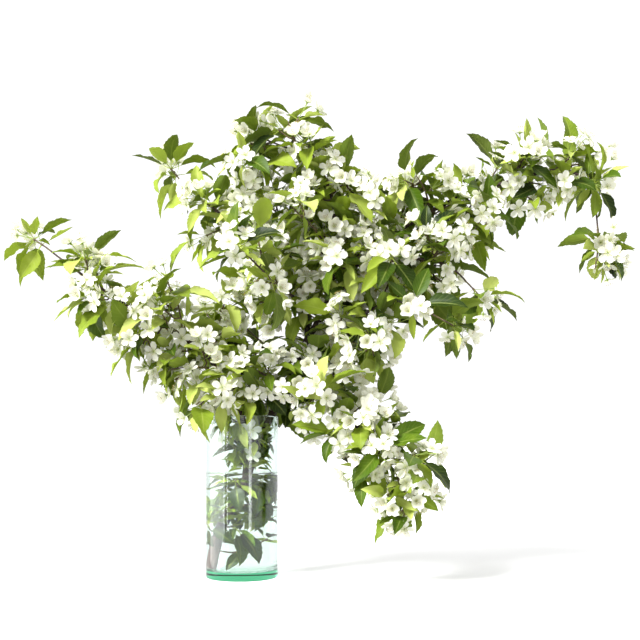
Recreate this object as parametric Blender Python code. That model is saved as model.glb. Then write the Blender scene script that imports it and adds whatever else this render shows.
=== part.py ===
"""A flowering crab apple branch standing in a straight glass cylinder of water.

The branch is one cut piece of wood that forks inside the glass. Short side twigs stand along its
limbs. Each twig ends in a small knob, a spur, whose facets carry its leaves and stalked blossoms,
so a twig with all that grows from it is one closed body. Metres, +Z up, origin at the centre of
the glass's foot. X runs across the widest spread and +Y away from the side seen first.
"""

import itertools
import math
import random
from collections import namedtuple

import bpy
from mathutils import Matrix, Vector
from mathutils.bvhtree import BVHTree

# The glass and its water
GLASS_RADIUS = 0.060
GLASS_HEIGHT = 0.268
GLASS_WALL = 0.0042
GLASS_FOOT = 0.013
FOOT_BEVEL = 0.0025
FLOOR_ROUND = 0.003
RIM_BEVEL = 0.0012
GLASS_SIDES = 36
WATER_LEVEL = 0.173
BORE_RADIUS = GLASS_RADIUS - GLASS_WALL

# Gaps: between solids that touch on the real thing, round what stands in water, and round leaves
GAP = 0.0003
HOLE_GAP = 0.0010
CLEARANCE = 0.001

# Leaves, blossoms, twigs and spurs
LEAF_LENGTHS = (0.044, 0.068)
PETIOLE = 0.26
BLADE_THICKNESS = 0.0012
BLOOM_RADII = (0.0145, 0.0175)
STALK_LENGTHS = (0.022, 0.036)
STALK_RADIUS = 0.0007
THROAT_DEPTH = 0.0032
TWIG_RADIUS = 0.0016
TWIG_TAPER = (1.15, 1.0, 0.8)
SPUR_RADIUS = 0.0023
LONG_TWIG = 0.022
SHORTEST = 0.024
THIN_TIP = 0.002
END_TWIG = 0.026
WOOD_SIDES = 6

SOLVER = "EXACT"

# How an item is tried again where it would cross another, and how space is split for that test
TRIES = 24
CUT_BACK = 0.02
LEAST_OUTWARD = 0.5
CELL = 0.07

# Each limb: its name, its radii at root and tip, the share of its length where side twigs start, how
# many it has, their greatest length, and the points of its centre line.
Limb = namedtuple("Limb", "name radii first twigs reach points")
LIMBS = (
    Limb("trunk", (0.0072, 0.0066), 0.0, 0, 0.0,
         ((-0.038, 0.010, 0.0148), (-0.027, 0.006, 0.078), (-0.010, 0.000, 0.123), (0.007, -0.006, 0.162))),
    Limb("left", (0.0056, 0.0013), 0.20, 9, 0.038,
         ((0.005, -0.005, 0.155), (0.009, -0.008, 0.215), (0.003, -0.012, 0.261), (-0.016, -0.022, 0.297),
          (-0.052, -0.042, 0.365), (-0.090, -0.052, 0.392), (-0.134, -0.058, 0.418), (-0.182, -0.060, 0.445),
          (-0.228, -0.056, 0.477), (-0.274, -0.050, 0.510), (-0.308, -0.046, 0.536))),
    Limb("main", (0.0066, 0.0060), 0.55, 2, 0.050,
         ((0.005, -0.005, 0.155), (0.022, 0.001, 0.205), (0.048, 0.010, 0.268), (0.073, 0.018, 0.314),
          (0.093, 0.020, 0.360), (0.111, 0.016, 0.403))),
    Limb("up", (0.0050, 0.0013), 0.20, 6, 0.048,
         ((0.110, 0.016, 0.400), (0.106, 0.024, 0.445), (0.101, 0.034, 0.482), (0.096, 0.044, 0.512),
          (0.066, 0.058, 0.556), (0.021, 0.070, 0.577), (-0.013, 0.078, 0.600), (-0.058, 0.086, 0.635),
          (-0.097, 0.092, 0.666), (-0.113, 0.096, 0.683))),
    Limb("top", (0.0038, 0.0012), 0.18, 6, 0.045,
         ((0.131, 0.010, 0.436), (0.148, -0.002, 0.485), (0.155, -0.010, 0.530), (0.153, -0.016, 0.573),
          (0.148, -0.020, 0.632), (0.127, -0.020, 0.680), (0.090, -0.016, 0.704), (0.050, -0.010, 0.722))),
    Limb("right", (0.0056, 0.0013), 0.12, 11, 0.044,
         ((0.110, 0.016, 0.400), (0.138, 0.008, 0.444), (0.165, 0.002, 0.480), (0.198, 0.002, 0.529),
          (0.251, 0.008, 0.572), (0.315, 0.016, 0.612), (0.371, 0.022, 0.640), (0.455, 0.026, 0.667),
          (0.525, 0.022, 0.684), (0.567, 0.014, 0.672), (0.587, 0.006, 0.636), (0.593, 0.000, 0.580))),
    Limb("belly", (0.0034, 0.0012), 0.30, 4, 0.042,
         ((0.175, 0.002, 0.494), (0.215, -0.022, 0.512), (0.262, -0.042, 0.522), (0.310, -0.054, 0.518),
          (0.345, -0.060, 0.502), (0.365, -0.062, 0.482))),
    Limb("mid", (0.0036, 0.0012), 0.35, 4, 0.035,
         ((0.101, 0.018, 0.376), (0.143, -0.010, 0.382), (0.171, -0.032, 0.398), (0.198, -0.054, 0.428),
          (0.237, -0.072, 0.447), (0.283, -0.088, 0.440), (0.312, -0.096, 0.423))),
    Limb("low", (0.0044, 0.0013), 0.28, 5, 0.035,
         ((0.076, 0.018, 0.321), (0.097, 0.002, 0.318), (0.125, -0.016, 0.301), (0.172, -0.044, 0.267),
          (0.212, -0.064, 0.227), (0.233, -0.076, 0.203), (0.253, -0.086, 0.170))),
    Limb("inner", (0.0030, 0.0012), 0.50, 2, 0.040,
         ((0.095, 0.020, 0.365), (0.066, 0.050, 0.379), (0.029, 0.080, 0.389), (-0.012, 0.104, 0.400),
          (-0.045, 0.122, 0.410))),
    Limb("back", (0.0030, 0.0012), 0.45, 2, 0.040,
         ((0.103, 0.030, 0.470), (0.116, 0.074, 0.521), (0.148, 0.118, 0.567), (0.188, 0.160, 0.608),
          (0.227, 0.190, 0.634))),
    Limb("front", (0.0030, 0.0012), 0.50, 2, 0.040,
         ((0.106, 0.024, 0.447), (0.084, -0.014, 0.466), (0.059, -0.058, 0.479), (0.039, -0.098, 0.495),
          (0.022, -0.128, 0.509))),
)
# Leaves and blossoms of a spray. The right limb's hanging end has few blossoms.
COUNTS = (5, 5)
HANGING_COUNTS = (8, 1)
HANGING_FROM = ("right", 9)

# Twigs inside the glass: limb, share of its length, direction, length, leaves, blossoms, under water
Inside = namedtuple("Inside", "limb share way length leaves blooms wet")
INSIDE = (
    Inside("trunk", 0.20, (0.90, -0.25, 0.42), 0.052, 3, 0, True),
    Inside("trunk", 0.72, (0.55, -0.75, 0.10), 0.016, 2, 0, True),
    Inside("left", 0.10, (-0.85, -0.30, 0.45), 0.014, 3, 1, False),
    Inside("main", 0.22, (0.35, -0.85, 0.30), 0.012, 4, 0, False),
)

# Leaf forms: how far the blade bends down, its fold along the rib, its width against its length, its
# sideways bend, and the blade's stations: share of its length, share of its half-width, wave.
FULL_BLADE = ((0.34, 1.0, 0.06), (0.72, 0.70, -0.06))
YOUNG_BLADE = ((0.45, 1.0, 0.0),)
LeafForm = namedtuple("LeafForm", "bend fold width sway blade")
LEAF_FORMS = (
    LeafForm(25, 14, 0.52, 6, FULL_BLADE),
    LeafForm(50, 20, 0.48, -8, FULL_BLADE),
    LeafForm(75, 14, 0.54, 10, FULL_BLADE),
    LeafForm(35, 32, 0.46, -12, FULL_BLADE),
    LeafForm(90, 24, 0.42, 8, FULL_BLADE),
    LeafForm(60, 8, 0.60, -5, FULL_BLADE),
    LeafForm(-12, 26, 0.44, 6, YOUNG_BLADE),
    LeafForm(20, 38, 0.34, 4, YOUNG_BLADE),
)
YOUNG_SIZE = 0.72
LEAF_MIX = (0, 1, 1, 2, 3, 3, 4, 5, 6, 6, 7, 7)

# Blossom forms: angle between the blossom's axis and its petals at the rim
BLOOM_FORMS = (84, 72, 48, 98)
BLOOM_MIX = (0, 0, 1, 1, 2, 3)
CLOSED_FORM = 2
NOTCH = 0.50

Leaf = namedtuple("Leaf", "form length matrix root")
Bloom = namedtuple("Bloom", "form radius matrix root")
Spray = namedtuple("Spray", "name twigs spurs leaves blooms wet")


def along(path, share):
    """The point and the direction at this share of a path's length."""
    lengths = [(b - a).length for a, b in zip(path, path[1:])]
    left = share * sum(lengths)
    for a, b, length in zip(path, path[1:], lengths):
        if left <= length:
            return a.lerp(b, left / length), (b - a).normalized()
        left -= length
    return path[-1], (path[-1] - path[-2]).normalized()


def square_to(direction, hint):
    """The hint with its part along the direction taken out, of length 1."""
    rest = hint - hint.dot(direction) * direction
    return rest.normalized() if rest.length > 1e-4 else direction.orthogonal().normalized()


def placing(origin, x_way, z_hint):
    """A placing matrix with its X along x_way and its Z as near z_hint as it can be."""
    z_way = square_to(x_way, z_hint)
    matrix = Matrix((x_way, z_way.cross(x_way), z_way)).transposed().to_4x4()
    matrix.translation = origin
    return matrix


def ring(centre, ahead, hint, radius, sides):
    """Points round a centre, square to the direction ahead, turning right-handed about it."""
    across = square_to(ahead, hint)
    side = ahead.cross(across)
    turns = [2 * math.pi * k / sides for k in range(sides)]
    return [centre + radius * (math.cos(t) * across + math.sin(t) * side) for t in turns]


def band(lower, upper):
    """Triangles between two rings of point numbers that start alike, the rings of any two sizes."""
    faces, i, j = [], 0, 0
    while i < len(lower) or j < len(upper):
        a, b = lower[i % len(lower)], upper[j % len(upper)]
        if (i + 0.5) / len(lower) < (j + 0.5) / len(upper):
            i += 1
            faces.append((a, lower[i % len(lower)], b))
        else:
            j += 1
            faces.append((a, upper[j % len(upper)], b))
    return faces


def tube(path, radii, sides):
    """A closed tube of flat facets along a path, with a radius for each of its points."""
    points, faces, hint = [], [], (path[1] - path[0]).orthogonal()
    for i, centre in enumerate(path):
        ahead = (path[min(i + 1, len(path) - 1)] - path[max(i - 1, 0)]).normalized()
        hint = square_to(ahead, hint)
        points += ring(centre, ahead, hint, radii[i], sides)
    rings = [list(range(i * sides, (i + 1) * sides)) for i in range(len(path))]
    for lower, upper in zip(rings, rings[1:]):
        faces += [(a, b, d, c) for a, b, c, d in zip(lower, lower[1:] + lower[:1], upper, upper[1:] + upper[:1])]
    return points, faces + [tuple(reversed(rings[0])), tuple(rings[-1])]


def icosahedron():
    """Points and outward triangles of a regular icosahedron of radius 1."""
    golden = (1 + 5 ** 0.5) / 2
    points = []
    for a, b in itertools.product((-1, 1), (-golden, golden)):
        points += [Vector((0, a, b)), Vector((a, b, 0)), Vector((b, 0, a))]
    faces = []
    for i, j, k in itertools.combinations(range(12), 3):
        sides = (points[i] - points[j], points[j] - points[k], points[k] - points[i])
        if max(side.length for side in sides) < 2.1:
            outward = sides[0].cross(sides[1]).dot(points[i]) > 0
            faces.append((i, j, k) if outward else (i, k, j))
    return [p.normalized() for p in points], faces


KNOB = icosahedron()


def face_middle(points, face):
    return sum((points[i] for i in face), Vector()) / len(face)


def spur_solid(centre, axis, spin):
    """A spur: a twenty-faced knob whose first face looks back along the axis, towards its twig."""
    points, faces = KNOB
    back = face_middle(points, faces[0]).normalized()
    turn = Matrix.Rotation(spin, 3, axis) @ back.rotation_difference(-axis).to_matrix()
    return [centre + SPUR_RADIUS * (turn @ p) for p in points], faces


def rib_point(form, length, share):
    """Place and heading of a leaf's rib, in the leaf's own frame, at a share of its whole length."""
    whole, steps = length * (1 + PETIOLE), 8
    bend, sway = math.radians(form.bend), math.radians(form.sway)

    def heading(t):
        down, aside = bend * t * (t - 0.25), sway * t
        return Vector((math.cos(down) * math.cos(aside), math.sin(aside), -math.sin(down))).normalized()

    place = Vector((0, 0, 0))
    for k in range(steps):
        place += heading(share * (k + 0.5) / steps) * whole * share / steps
    return place, heading(share)


def leaf_rings(leaf, swell):
    """A leaf's stalk end, its blade's cross-sections (top, right, bottom, left), and its tip, all placed."""
    form, start = LEAF_FORMS[leaf.form], PETIOLE / (1 + PETIOLE)
    wide, thick = form.width * leaf.length / 2 + swell, BLADE_THICKNESS / 2 + swell
    place, heading = rib_point(form, leaf.length, start)
    rings = [ring(place, heading, Vector((0, 0, 1)), STALK_RADIUS + swell, 3)]
    for along_blade, width, wave in form.blade:
        place, heading = rib_point(form, leaf.length, start + (1 - start) * along_blade)
        up = square_to(heading, Vector((0, 0, 1)))
        side = up.cross(heading)
        rise, lean = width * wide * math.sin(math.radians(form.fold)), wave * width * wide
        reach = width * wide * math.cos(math.radians(form.fold))
        rings.append([place + thick * up, place - reach * side + (rise - lean) * up,
                      place - thick * up, place + reach * side + (rise + lean) * up])
    tip, heading = rib_point(form, leaf.length, 1.0)
    return [[leaf.matrix @ p for p in r] for r in rings], leaf.matrix @ (tip + 2 * swell * heading)


def leaf_item(leaf, swell=0.0):
    """What grows from a leaf's root ring: points after the ring's three, and faces over all of them."""
    rings, tip = leaf_rings(leaf, swell)
    points = [p for r in rings for p in r] + [tip]
    faces = band((0, 1, 2), (3, 4, 5)) + band((3, 4, 5), (6, 7, 8, 9))
    for i in range(len(rings) - 2):
        t, r, b, l = range(6 + 4 * i, 10 + 4 * i)
        t2, r2, b2, l2 = range(10 + 4 * i, 14 + 4 * i)
        faces += [(t, r, r2), (t, r2, t2), (r, b, r2), (b, b2, r2), (b, l, l2), (b, l2, b2), (l, t, l2), (t, t2, l2)]
    last = list(range(len(points) - 2, len(points) + 2))
    return points, faces + [(a, b, len(points) + 2) for a, b in zip(last, last[1:] + last[:1])]


def bloom_item(bloom, swell=0.0):
    """A stalk and an open blossom of five petals that run together at its throat, from a root ring."""
    spread, size = math.radians(BLOOM_FORMS[bloom.form]), bloom.radius + swell
    points = ring(Vector((0, 0, -THROAT_DEPTH)), Vector((0, 0, 1)), Vector((1, 0, 0)), 0.0012 + swell, 3)
    shares = (1.0,) if bloom.form == CLOSED_FORM else (1.0, NOTCH)
    count = 5 * len(shares)
    for k in range(count):
        share, turn = shares[k % len(shares)], 2 * math.pi * k / count
        flat, height = size * share * math.sin(spread), size * share * share * math.cos(spread)
        points.append(Vector((flat * math.cos(turn), flat * math.sin(turn), height)))
    points.append(Vector((0, 0, 0.0002)))
    rim = list(range(6, 6 + count))
    faces = band((0, 1, 2), (3, 4, 5)) + band((3, 4, 5), rim)
    faces += [(a, b, 6 + count) for a, b in zip(rim, rim[1:] + rim[:1])]
    return [bloom.matrix @ p for p in points], faces


def least_twist(lower, upper):
    """How many places to start the lower ring of three later, so that the facets up to the other don't cross.

    Each lower point then faces the gap between its own upper point and the next, as the facets of a band do.
    """
    low, high = face_middle(lower, range(3)), face_middle(upper, range(3))
    ahead = (high - low).normalized()
    outs = [square_to(ahead, p - high) for p in upper]
    ins = [square_to(ahead, p - low) for p in lower]
    return max(range(3), key=lambda k: sum(ins[(i + k) % 3].dot(outs[i] + outs[(i + 1) % 3]) for i in range(3)))


def closed(root, item, back=0.0):
    """An item closed off at its root ring, or with this share of its stalk cut back."""
    k = least_twist(root, item[0][:3])
    root = [a.lerp(b, back) for a, b in zip(root[k:] + root[:k], item[0])]
    return root + item[0], item[1] + [(2, 1, 0)]


class Room:
    """What already stands where: search trees of solids, kept by cells of space."""

    def __init__(self, always=()):
        self.cells = {}
        self.always = list(always)

    def near(self, solid):
        spans = []
        for axis in range(3):
            reach = [p[axis] for p in solid[0]]
            spans.append(range(math.floor(min(reach) / CELL), math.floor(max(reach) / CELL) + 1))
        return itertools.product(*spans)

    def add(self, solid, owner):
        tree = BVHTree.FromPolygons(*solid)
        for cell in self.near(solid):
            self.cells.setdefault(cell, []).append((tree, owner))

    def clear(self, solid, owner=None):
        """Whether the solid crosses nothing here, apart from what the owner holds."""
        tree = BVHTree.FromPolygons(*solid)
        met = {id(other): other for cell in self.near(solid) for other, whose in self.cells.get(cell, ())
               if whose != owner}
        return not any(tree.overlap(other) for other in self.always + list(met.values()))


def turned_solid(profile, sides=GLASS_SIDES):
    """A solid of revolution from a profile of (radius, height), whose first and last points are flat ends."""
    points = []
    for radius, height in profile:
        points += ring(Vector((0, 0, height)), Vector((0, 0, 1)), Vector((1, 0, 0)), radius, sides)
    rings = [list(range(i * sides, (i + 1) * sides)) for i in range(len(profile))]
    faces = [tuple(reversed(rings[0])), tuple(rings[-1])]
    for lower, upper in zip(rings, rings[1:]):
        faces += [(a, b, d, c) for a, b, c, d in zip(lower, lower[1:] + lower[:1], upper, upper[1:] + upper[:1])]
    return points, faces


def glass_solid(grow=0.0):
    """The cylinder: thick foot, straight wall, rounded rim. grow thickens it on every side."""
    outer, inner, top, floor = GLASS_RADIUS + grow, BORE_RADIUS - grow, GLASS_HEIGHT + grow, GLASS_FOOT + grow
    return turned_solid(((outer - FOOT_BEVEL, -grow), (outer, FOOT_BEVEL - grow), (outer, top - RIM_BEVEL),
                         (outer - RIM_BEVEL, top), (inner + RIM_BEVEL, top), (inner, top - RIM_BEVEL),
                         (inner, floor + FLOOR_ROUND), (inner - FLOOR_ROUND, floor)))


def water_solid(radius, low, high):
    return turned_solid(((radius - FLOOR_ROUND, low), (radius, low + FLOOR_ROUND), (radius, high)))


def limb_path(limb):
    return [Vector(p) for p in limb.points]


def limb_solid(limb, swell=0.0):
    """A limb's wood as a tapering tube."""
    path, (thick, thin) = limb_path(limb), limb.radii
    radii = [thick + (thin - thick) * i / (len(path) - 1) + swell for i in range(len(path))]
    return tube(path, radii, WOOD_SIDES)


def side_way(ahead, turn):
    """A direction square to the one ahead, at this turn round it."""
    across = square_to(ahead, Vector((0, 0, 1)))
    return math.cos(turn) * across + math.sin(turn) * ahead.cross(across)


def loose(draw, amount):
    return amount * Vector([draw.uniform(-1, 1) for _ in range(3)])


def outward(facing, bias, draw, effort):
    """The way in which an item leaves a facet: near the facet's own, more loosely with each further try."""
    way = (facing + bias + loose(draw, 0.15 + 0.05 * effort)).normalized()
    return way if way.dot(facing) > LEAST_OUTWARD else (way + 2 * facing).normalized()


def leaf_trial(draw, root, facing, axis, size, effort):
    """A leaf from a spur's facet. Later tries are smaller."""
    way = outward(facing, 0.30 * axis + Vector((0, 0, -0.10)), draw, effort)
    upper = Vector((0, 0, 1)) + 0.6 * axis + loose(draw, 0.5)
    form = draw.choice(LEAF_MIX)
    young = YOUNG_SIZE if len(LEAF_FORMS[form].blade) == 1 else 1.0
    length = draw.uniform(*LEAF_LENGTHS) * size * young * 0.97 ** effort
    return Leaf(form, length, placing(root, way, upper), root)


def bloom_trial(draw, root, facing, axis, effort):
    """A blossom on its stalk, its own axis turned somewhat from the stalk's."""
    way = outward(facing, 0.35 * axis + Vector((0, 0, 0.12)), draw, effort)
    front = (way + Vector((0, -0.20, 0.10)) + loose(draw, 0.50)).normalized()
    place = placing(root + way * draw.uniform(*STALK_LENGTHS), front.orthogonal().normalized(), front)
    return Bloom(draw.choice(BLOOM_MIX), draw.uniform(*BLOOM_RADII), place, root)


def twig_path(foot, out, way, length):
    """A twig that leaves the wood square to it and bends towards its way."""
    return [foot, foot + max(0.3 * length, 0.003) * out, foot + length * (way + 0.25 * out)]


def in_two(path):
    """A twig's path as two, one on from the other, for a twig with a spur on its way."""
    half = path[1].lerp(path[2], 0.35)
    return [[path[0], path[1], half], [half, half.lerp(path[2], 0.5), path[2]]]


def twig_solid(path, swell=0.0, sides=3):
    return tube(path, [TWIG_RADIUS * share + swell for share in TWIG_TAPER], sides)


def spur_faces(axis, spur, draw, goes_on):
    """A spur's facets for blossoms, those nearest its axis first, and for leaves, all round it."""
    points, faces = spur
    middle = face_middle(points, range(len(points)))
    lean = {f: (face_middle(points, f) - middle).normalized().dot(axis) for f in faces[1:]}
    if goes_on:
        del lean[opposite(spur, axis)]
    ahead = sorted((f for f in lean if lean[f] > 0.2), key=lambda f: -lean[f] + draw.uniform(0, 0.5))
    around = sorted((f for f in lean if lean[f] > -0.5), key=lambda f: draw.uniform(0, 1) + 0.2 * lean[f])
    return ahead, around


def fitting_item(kind, seed, root, heart, axis, size, fits):
    """The first leaf or blossom, of those drawn for this facet, that fits where it stands."""
    middle = face_middle(root, range(3))
    facing = (middle - heart).normalized()
    for effort in range(TRIES):
        draw = random.Random(f"{seed} {effort}")
        if kind == "leaf":
            trial = leaf_trial(draw, middle, facing, axis, size, effort)
            item = leaf_item(trial)
        else:
            trial = bloom_trial(draw, middle, facing, axis, effort)
            item = bloom_item(trial)
        if fits(closed(root, item, back=CUT_BACK), closed(root, item)):
            return trial
    return None


def grow_spray(name, twigs, counts, size, wet, room):
    """Twigs with their spurs. An item that would cross another one is drawn again, or left out."""
    own, spurs, grown = Room(), [], {"leaf": [], "bloom": []}
    axes = [(path[-1] - path[-2]).normalized() for path in twigs]
    for order, (path, axis) in enumerate(zip(twigs, axes)):
        spurs.append(spur_solid(path[-1], axis, random.Random(f"{name} {order}").uniform(0, 6.3)))
        start = path[0] if order == 0 else path[0].lerp(path[1], 0.5)
        own.add(spurs[-1], "spur")
        own.add(twig_solid([start] + path[1:]), "twig")

    def fits(outer, whole):
        if not (own.clear(outer) and room.clear(whole, name)):
            return False
        own.add(outer, name)
        room.add(whole, name)
        return True

    for order, (path, axis, spur) in enumerate(zip(twigs, axes, spurs)):
        goes_on = order < len(twigs) - 1
        ahead, around = spur_faces(axis, spur, random.Random(f"{name} {order} faces"), goes_on)
        taken = set()
        for kind, facets, count in (("bloom", ahead, counts[1]), ("leaf", around, counts[0])):
            goal = count * (order + 1) // len(twigs)
            for facet in facets:
                if len(grown[kind]) == goal or facet in taken:
                    continue
                seed, root = f"{name} {order} {facet}", [spur[0][i] for i in facet]
                trial = fitting_item(kind, seed, root, path[-1], axis * (not goes_on), size, fits)
                if trial:
                    taken.add(facet)
                    grown[kind].append((order, facet, trial))
    return Spray(name, twigs, spurs, grown["leaf"], grown["bloom"], wet)


def opposite(spur, axis):
    """The spur's face that looks ahead along its axis, where a longer twig goes on."""
    middle = face_middle(spur[0], range(12))
    return max(spur[1], key=lambda f: (face_middle(spur[0], f) - middle).dot(axis))


def plan_sprays():
    """Every spray of the branch, from the glass outwards."""
    wood = {limb.name: BVHTree.FromPolygons(*limb_solid(limb)) for limb in LIMBS}
    paths = {limb.name: limb_path(limb) for limb in LIMBS}
    thick_glass = BVHTree.FromPolygons(*glass_solid(CLEARANCE))
    above = BVHTree.FromPolygons(*water_solid(BORE_RADIUS, GLASS_FOOT, WATER_LEVEL + CLEARANCE))
    below = BVHTree.FromPolygons(*water_solid(BORE_RADIUS - CLEARANCE, GLASS_FOOT + CLEARANCE,
                                              WATER_LEVEL - 3 * CLEARANCE))
    dry = Room(list(wood.values()) + [thick_glass, above])
    under = Room(list(wood.values()) + [thick_glass, below])
    sprays = []

    def plant(name, limb, share, out, way, length, counts, size, wet=False):
        """One spray on a limb. Its twig is turned on round the limb until it stands clear."""
        centre, ahead = along(paths[limb], share)
        room = under if wet else dry
        for turn in range(9):
            spin = Matrix.Rotation(math.radians(40 * turn), 3, ahead)
            root_way, twig_way = spin @ out, spin @ way
            hit, facet_way = wood[limb].ray_cast(centre + 0.03 * root_way, -root_way)[:2]
            path = twig_path(hit + GAP * facet_way, facet_way, twig_way, length)
            solids = [twig_solid(path), spur_solid(path[-1], twig_way, 0.0)]
            if all(room.clear(solid, name) for solid in solids):
                break
        else:
            return
        twigs = in_two(path) if length > LONG_TWIG else [path]
        for solid in solids:
            room.add(solid, name)
        sprays.append(grow_spray(name, twigs, counts, size, wet, room))

    for k, spot in enumerate(INSIDE):
        way = Vector(spot.way).normalized()
        out = square_to(along(paths[spot.limb], spot.share)[1], way)
        plant(f"spray_glass_{k + 1}", spot.limb, spot.share, out, way, spot.length, (spot.leaves, spot.blooms),
              0.7, spot.wet)
    for limb in LIMBS:
        draw = random.Random(limb.name)
        turn = draw.uniform(0, 6.3)
        for k in range(limb.twigs):
            name = f"spray_{limb.name}_{k + 1:02d}"
            share = limb.first + (1 - limb.first) * k / (limb.twigs - 0.5)
            ahead = along(paths[limb.name], share)[1]
            turn += 2.4 + draw.uniform(-0.3, 0.3)
            out = side_way(ahead, turn)
            length = max(SHORTEST, limb.reach * (1 - 0.6 * k / limb.twigs) * draw.uniform(0.85, 1.15))
            hanging = limb.name == HANGING_FROM[0] and k >= HANGING_FROM[1]
            counts = HANGING_COUNTS if hanging else COUNTS
            if k < limb.twigs - 1 or limb.radii[1] > THIN_TIP:
                way = (out + 1.1 * ahead + Vector((0, 0, 0.15))).normalized()
                plant(name, limb.name, share, out, way, length, counts, 1.0)
                continue
            tip, ahead = along(paths[limb.name], 1.0)
            path = twig_path(tip + GAP * ahead, ahead, (ahead + 0.1 * out).normalized(), END_TWIG)
            dry.add(twig_solid(path), name)
            sprays.append(grow_spray(name, in_two(path), counts, 1.0, False, dry))
    return sprays


def join_item(points, faces, root, item):
    """Adds an item's points and faces, grown from the three points of this facet."""
    k = least_twist([points[i] for i in root], item[0][:3])
    numbers = root[k:] + root[:k] + list(range(len(points), len(points) + len(item[0])))
    points += item[0]
    faces += [tuple(numbers[i] for i in face) for face in item[1]]


def join_rings(points, faces, lower, upper):
    """Adds the faces between two rings of three."""
    k = least_twist([points[i] for i in lower], [points[i] for i in upper])
    faces += band(lower[k:] + lower[:k], upper)


def spray_solid(spray):
    """A spray as one closed body: each twig, leaf and blossom takes the place of a facet of a spur."""
    points, faces, root = [], [], None
    for order, (path, (knob, facets)) in enumerate(zip(spray.twigs, spray.spurs)):
        stalk = twig_solid(path)[0]
        if root is None:
            points += stalk[:3]
            root = [0, 1, 2]
            faces.append(tuple(reversed(root)))
        knee, base = list(range(len(points), len(points) + 3)), len(points) + 3
        back = [base + i for i in reversed(facets[0])]
        points += stalk[3:6] + knob
        join_rings(points, faces, root, knee)
        join_rings(points, faces, knee, back)
        items = {face: leaf_item(leaf) for at, face, leaf in spray.leaves if at == order}
        items.update({face: bloom_item(bloom) for at, face, bloom in spray.blooms if at == order})
        onward = opposite((knob, facets), (path[-1] - path[-2]).normalized()) if order < len(spray.twigs) - 1 else None
        for facet in facets[1:]:
            numbers = [base + i for i in facet]
            if facet in items:
                join_item(points, faces, numbers, items[facet])
            elif facet == onward:
                root = numbers
            else:
                faces.append(tuple(numbers))
    return points, faces


def new_object(name, solid, colour, roughness, see_through=0.0):
    """An object from points and faces, with a plain material of its own."""
    mesh = bpy.data.meshes.new(name)
    mesh.from_pydata([tuple(p) for p in solid[0]], [], solid[1])
    mesh.update()
    thing = bpy.data.objects.new(name, mesh)
    bpy.context.scene.collection.objects.link(thing)
    material = bpy.data.materials.new(name)
    material.use_nodes = True
    shader = material.node_tree.nodes["Principled BSDF"]
    shader.inputs["Base Color"].default_value = (*colour, 1.0)
    shader.inputs["Roughness"].default_value = roughness
    shader.inputs["Metallic"].default_value = 0.0
    shader.inputs["Transmission Weight"].default_value = see_through
    mesh.materials.append(material)
    return thing


def round_off(thing):
    """Smooth shading on round stretches, with sharp edges kept."""
    thing.data.shade_smooth()
    thing.data.set_sharp_from_angle(angle=math.radians(35))


def combine(thing, operation, solids):
    """One Boolean with all of these solids, applied, with the solids' own objects then removed."""
    tools = bpy.data.collections.new(thing.name + "_tools")
    for k, solid in enumerate(solids):
        mesh = bpy.data.meshes.new(f"{thing.name}_{k}")
        mesh.from_pydata([tuple(p) for p in solid[0]], [], solid[1])
        tools.objects.link(bpy.data.objects.new(f"{thing.name}_{k}", mesh))
    bpy.context.scene.collection.children.link(tools)
    modifier = thing.modifiers.new("join", "BOOLEAN")
    modifier.operation = operation
    modifier.operand_type = "COLLECTION"
    modifier.collection = tools
    modifier.solver = SOLVER
    graph = bpy.context.evaluated_depsgraph_get()
    joined = bpy.data.meshes.new_from_object(thing.evaluated_get(graph))
    thing.modifiers.clear()
    thing.data = joined
    for tool in list(tools.objects):
        bpy.data.objects.remove(tool)
    bpy.data.collections.remove(tools)


def make_glass():
    glass = new_object("glass_cylinder", glass_solid(), (0.86, 0.95, 0.90), 0.03, 1.0)
    round_off(glass)


def make_water(sprays):
    """The water, with plain holes where the stem and the twigs under water stand."""
    solid = water_solid(BORE_RADIUS - GAP, GLASS_FOOT + GAP, WATER_LEVEL)
    water = new_object("water", solid, (0.92, 0.97, 0.95), 0.0, 1.0)
    holes = [limb_solid(limb, HOLE_GAP) for limb in LIMBS if limb.name in ("trunk", "left", "main")]
    for spray in sprays:
        if not spray.wet:
            continue
        for path, (knob, facets) in zip(spray.twigs, spray.spurs):
            swollen = [p + (p - path[-1]).normalized() * HOLE_GAP for p in knob]
            holes += [twig_solid(path, HOLE_GAP, 6), (swollen, facets)]
        for order, face, leaf in spray.leaves:
            root = [leaf.root.lerp(spray.spurs[order][0][i], 1.3) for i in face]
            holes.append(closed(root, leaf_item(leaf, HOLE_GAP)))
    combine(water, "DIFFERENCE", holes)
    round_off(water)


def make_wood():
    """Trunk and limbs, grown as one piece."""
    wood = new_object("branch_wood", limb_solid(LIMBS[0]), (0.10, 0.07, 0.06), 0.8)
    combine(wood, "UNION", [limb_solid(limb) for limb in LIMBS[1:]])
    round_off(wood)


def main():
    for thing in list(bpy.data.objects):
        bpy.data.objects.remove(thing)
    sprays = plan_sprays()
    make_glass()
    make_water(sprays)
    make_wood()
    for spray in sprays:
        new_object(spray.name, spray_solid(spray), (0.24, 0.36, 0.08), 0.55)
    print(len(sprays), "sprays", sum(len(s.leaves) for s in sprays), "leaves",
          sum(len(s.blooms) for s in sprays), "blossoms")


main()
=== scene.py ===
"""The looks of a flowering crab apple branch in a straight glass cylinder of water."""

import itertools
import math
import random
from collections import namedtuple

import bpy
from mathutils import Matrix, Vector
from mathutils.bvhtree import BVHTree


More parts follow.
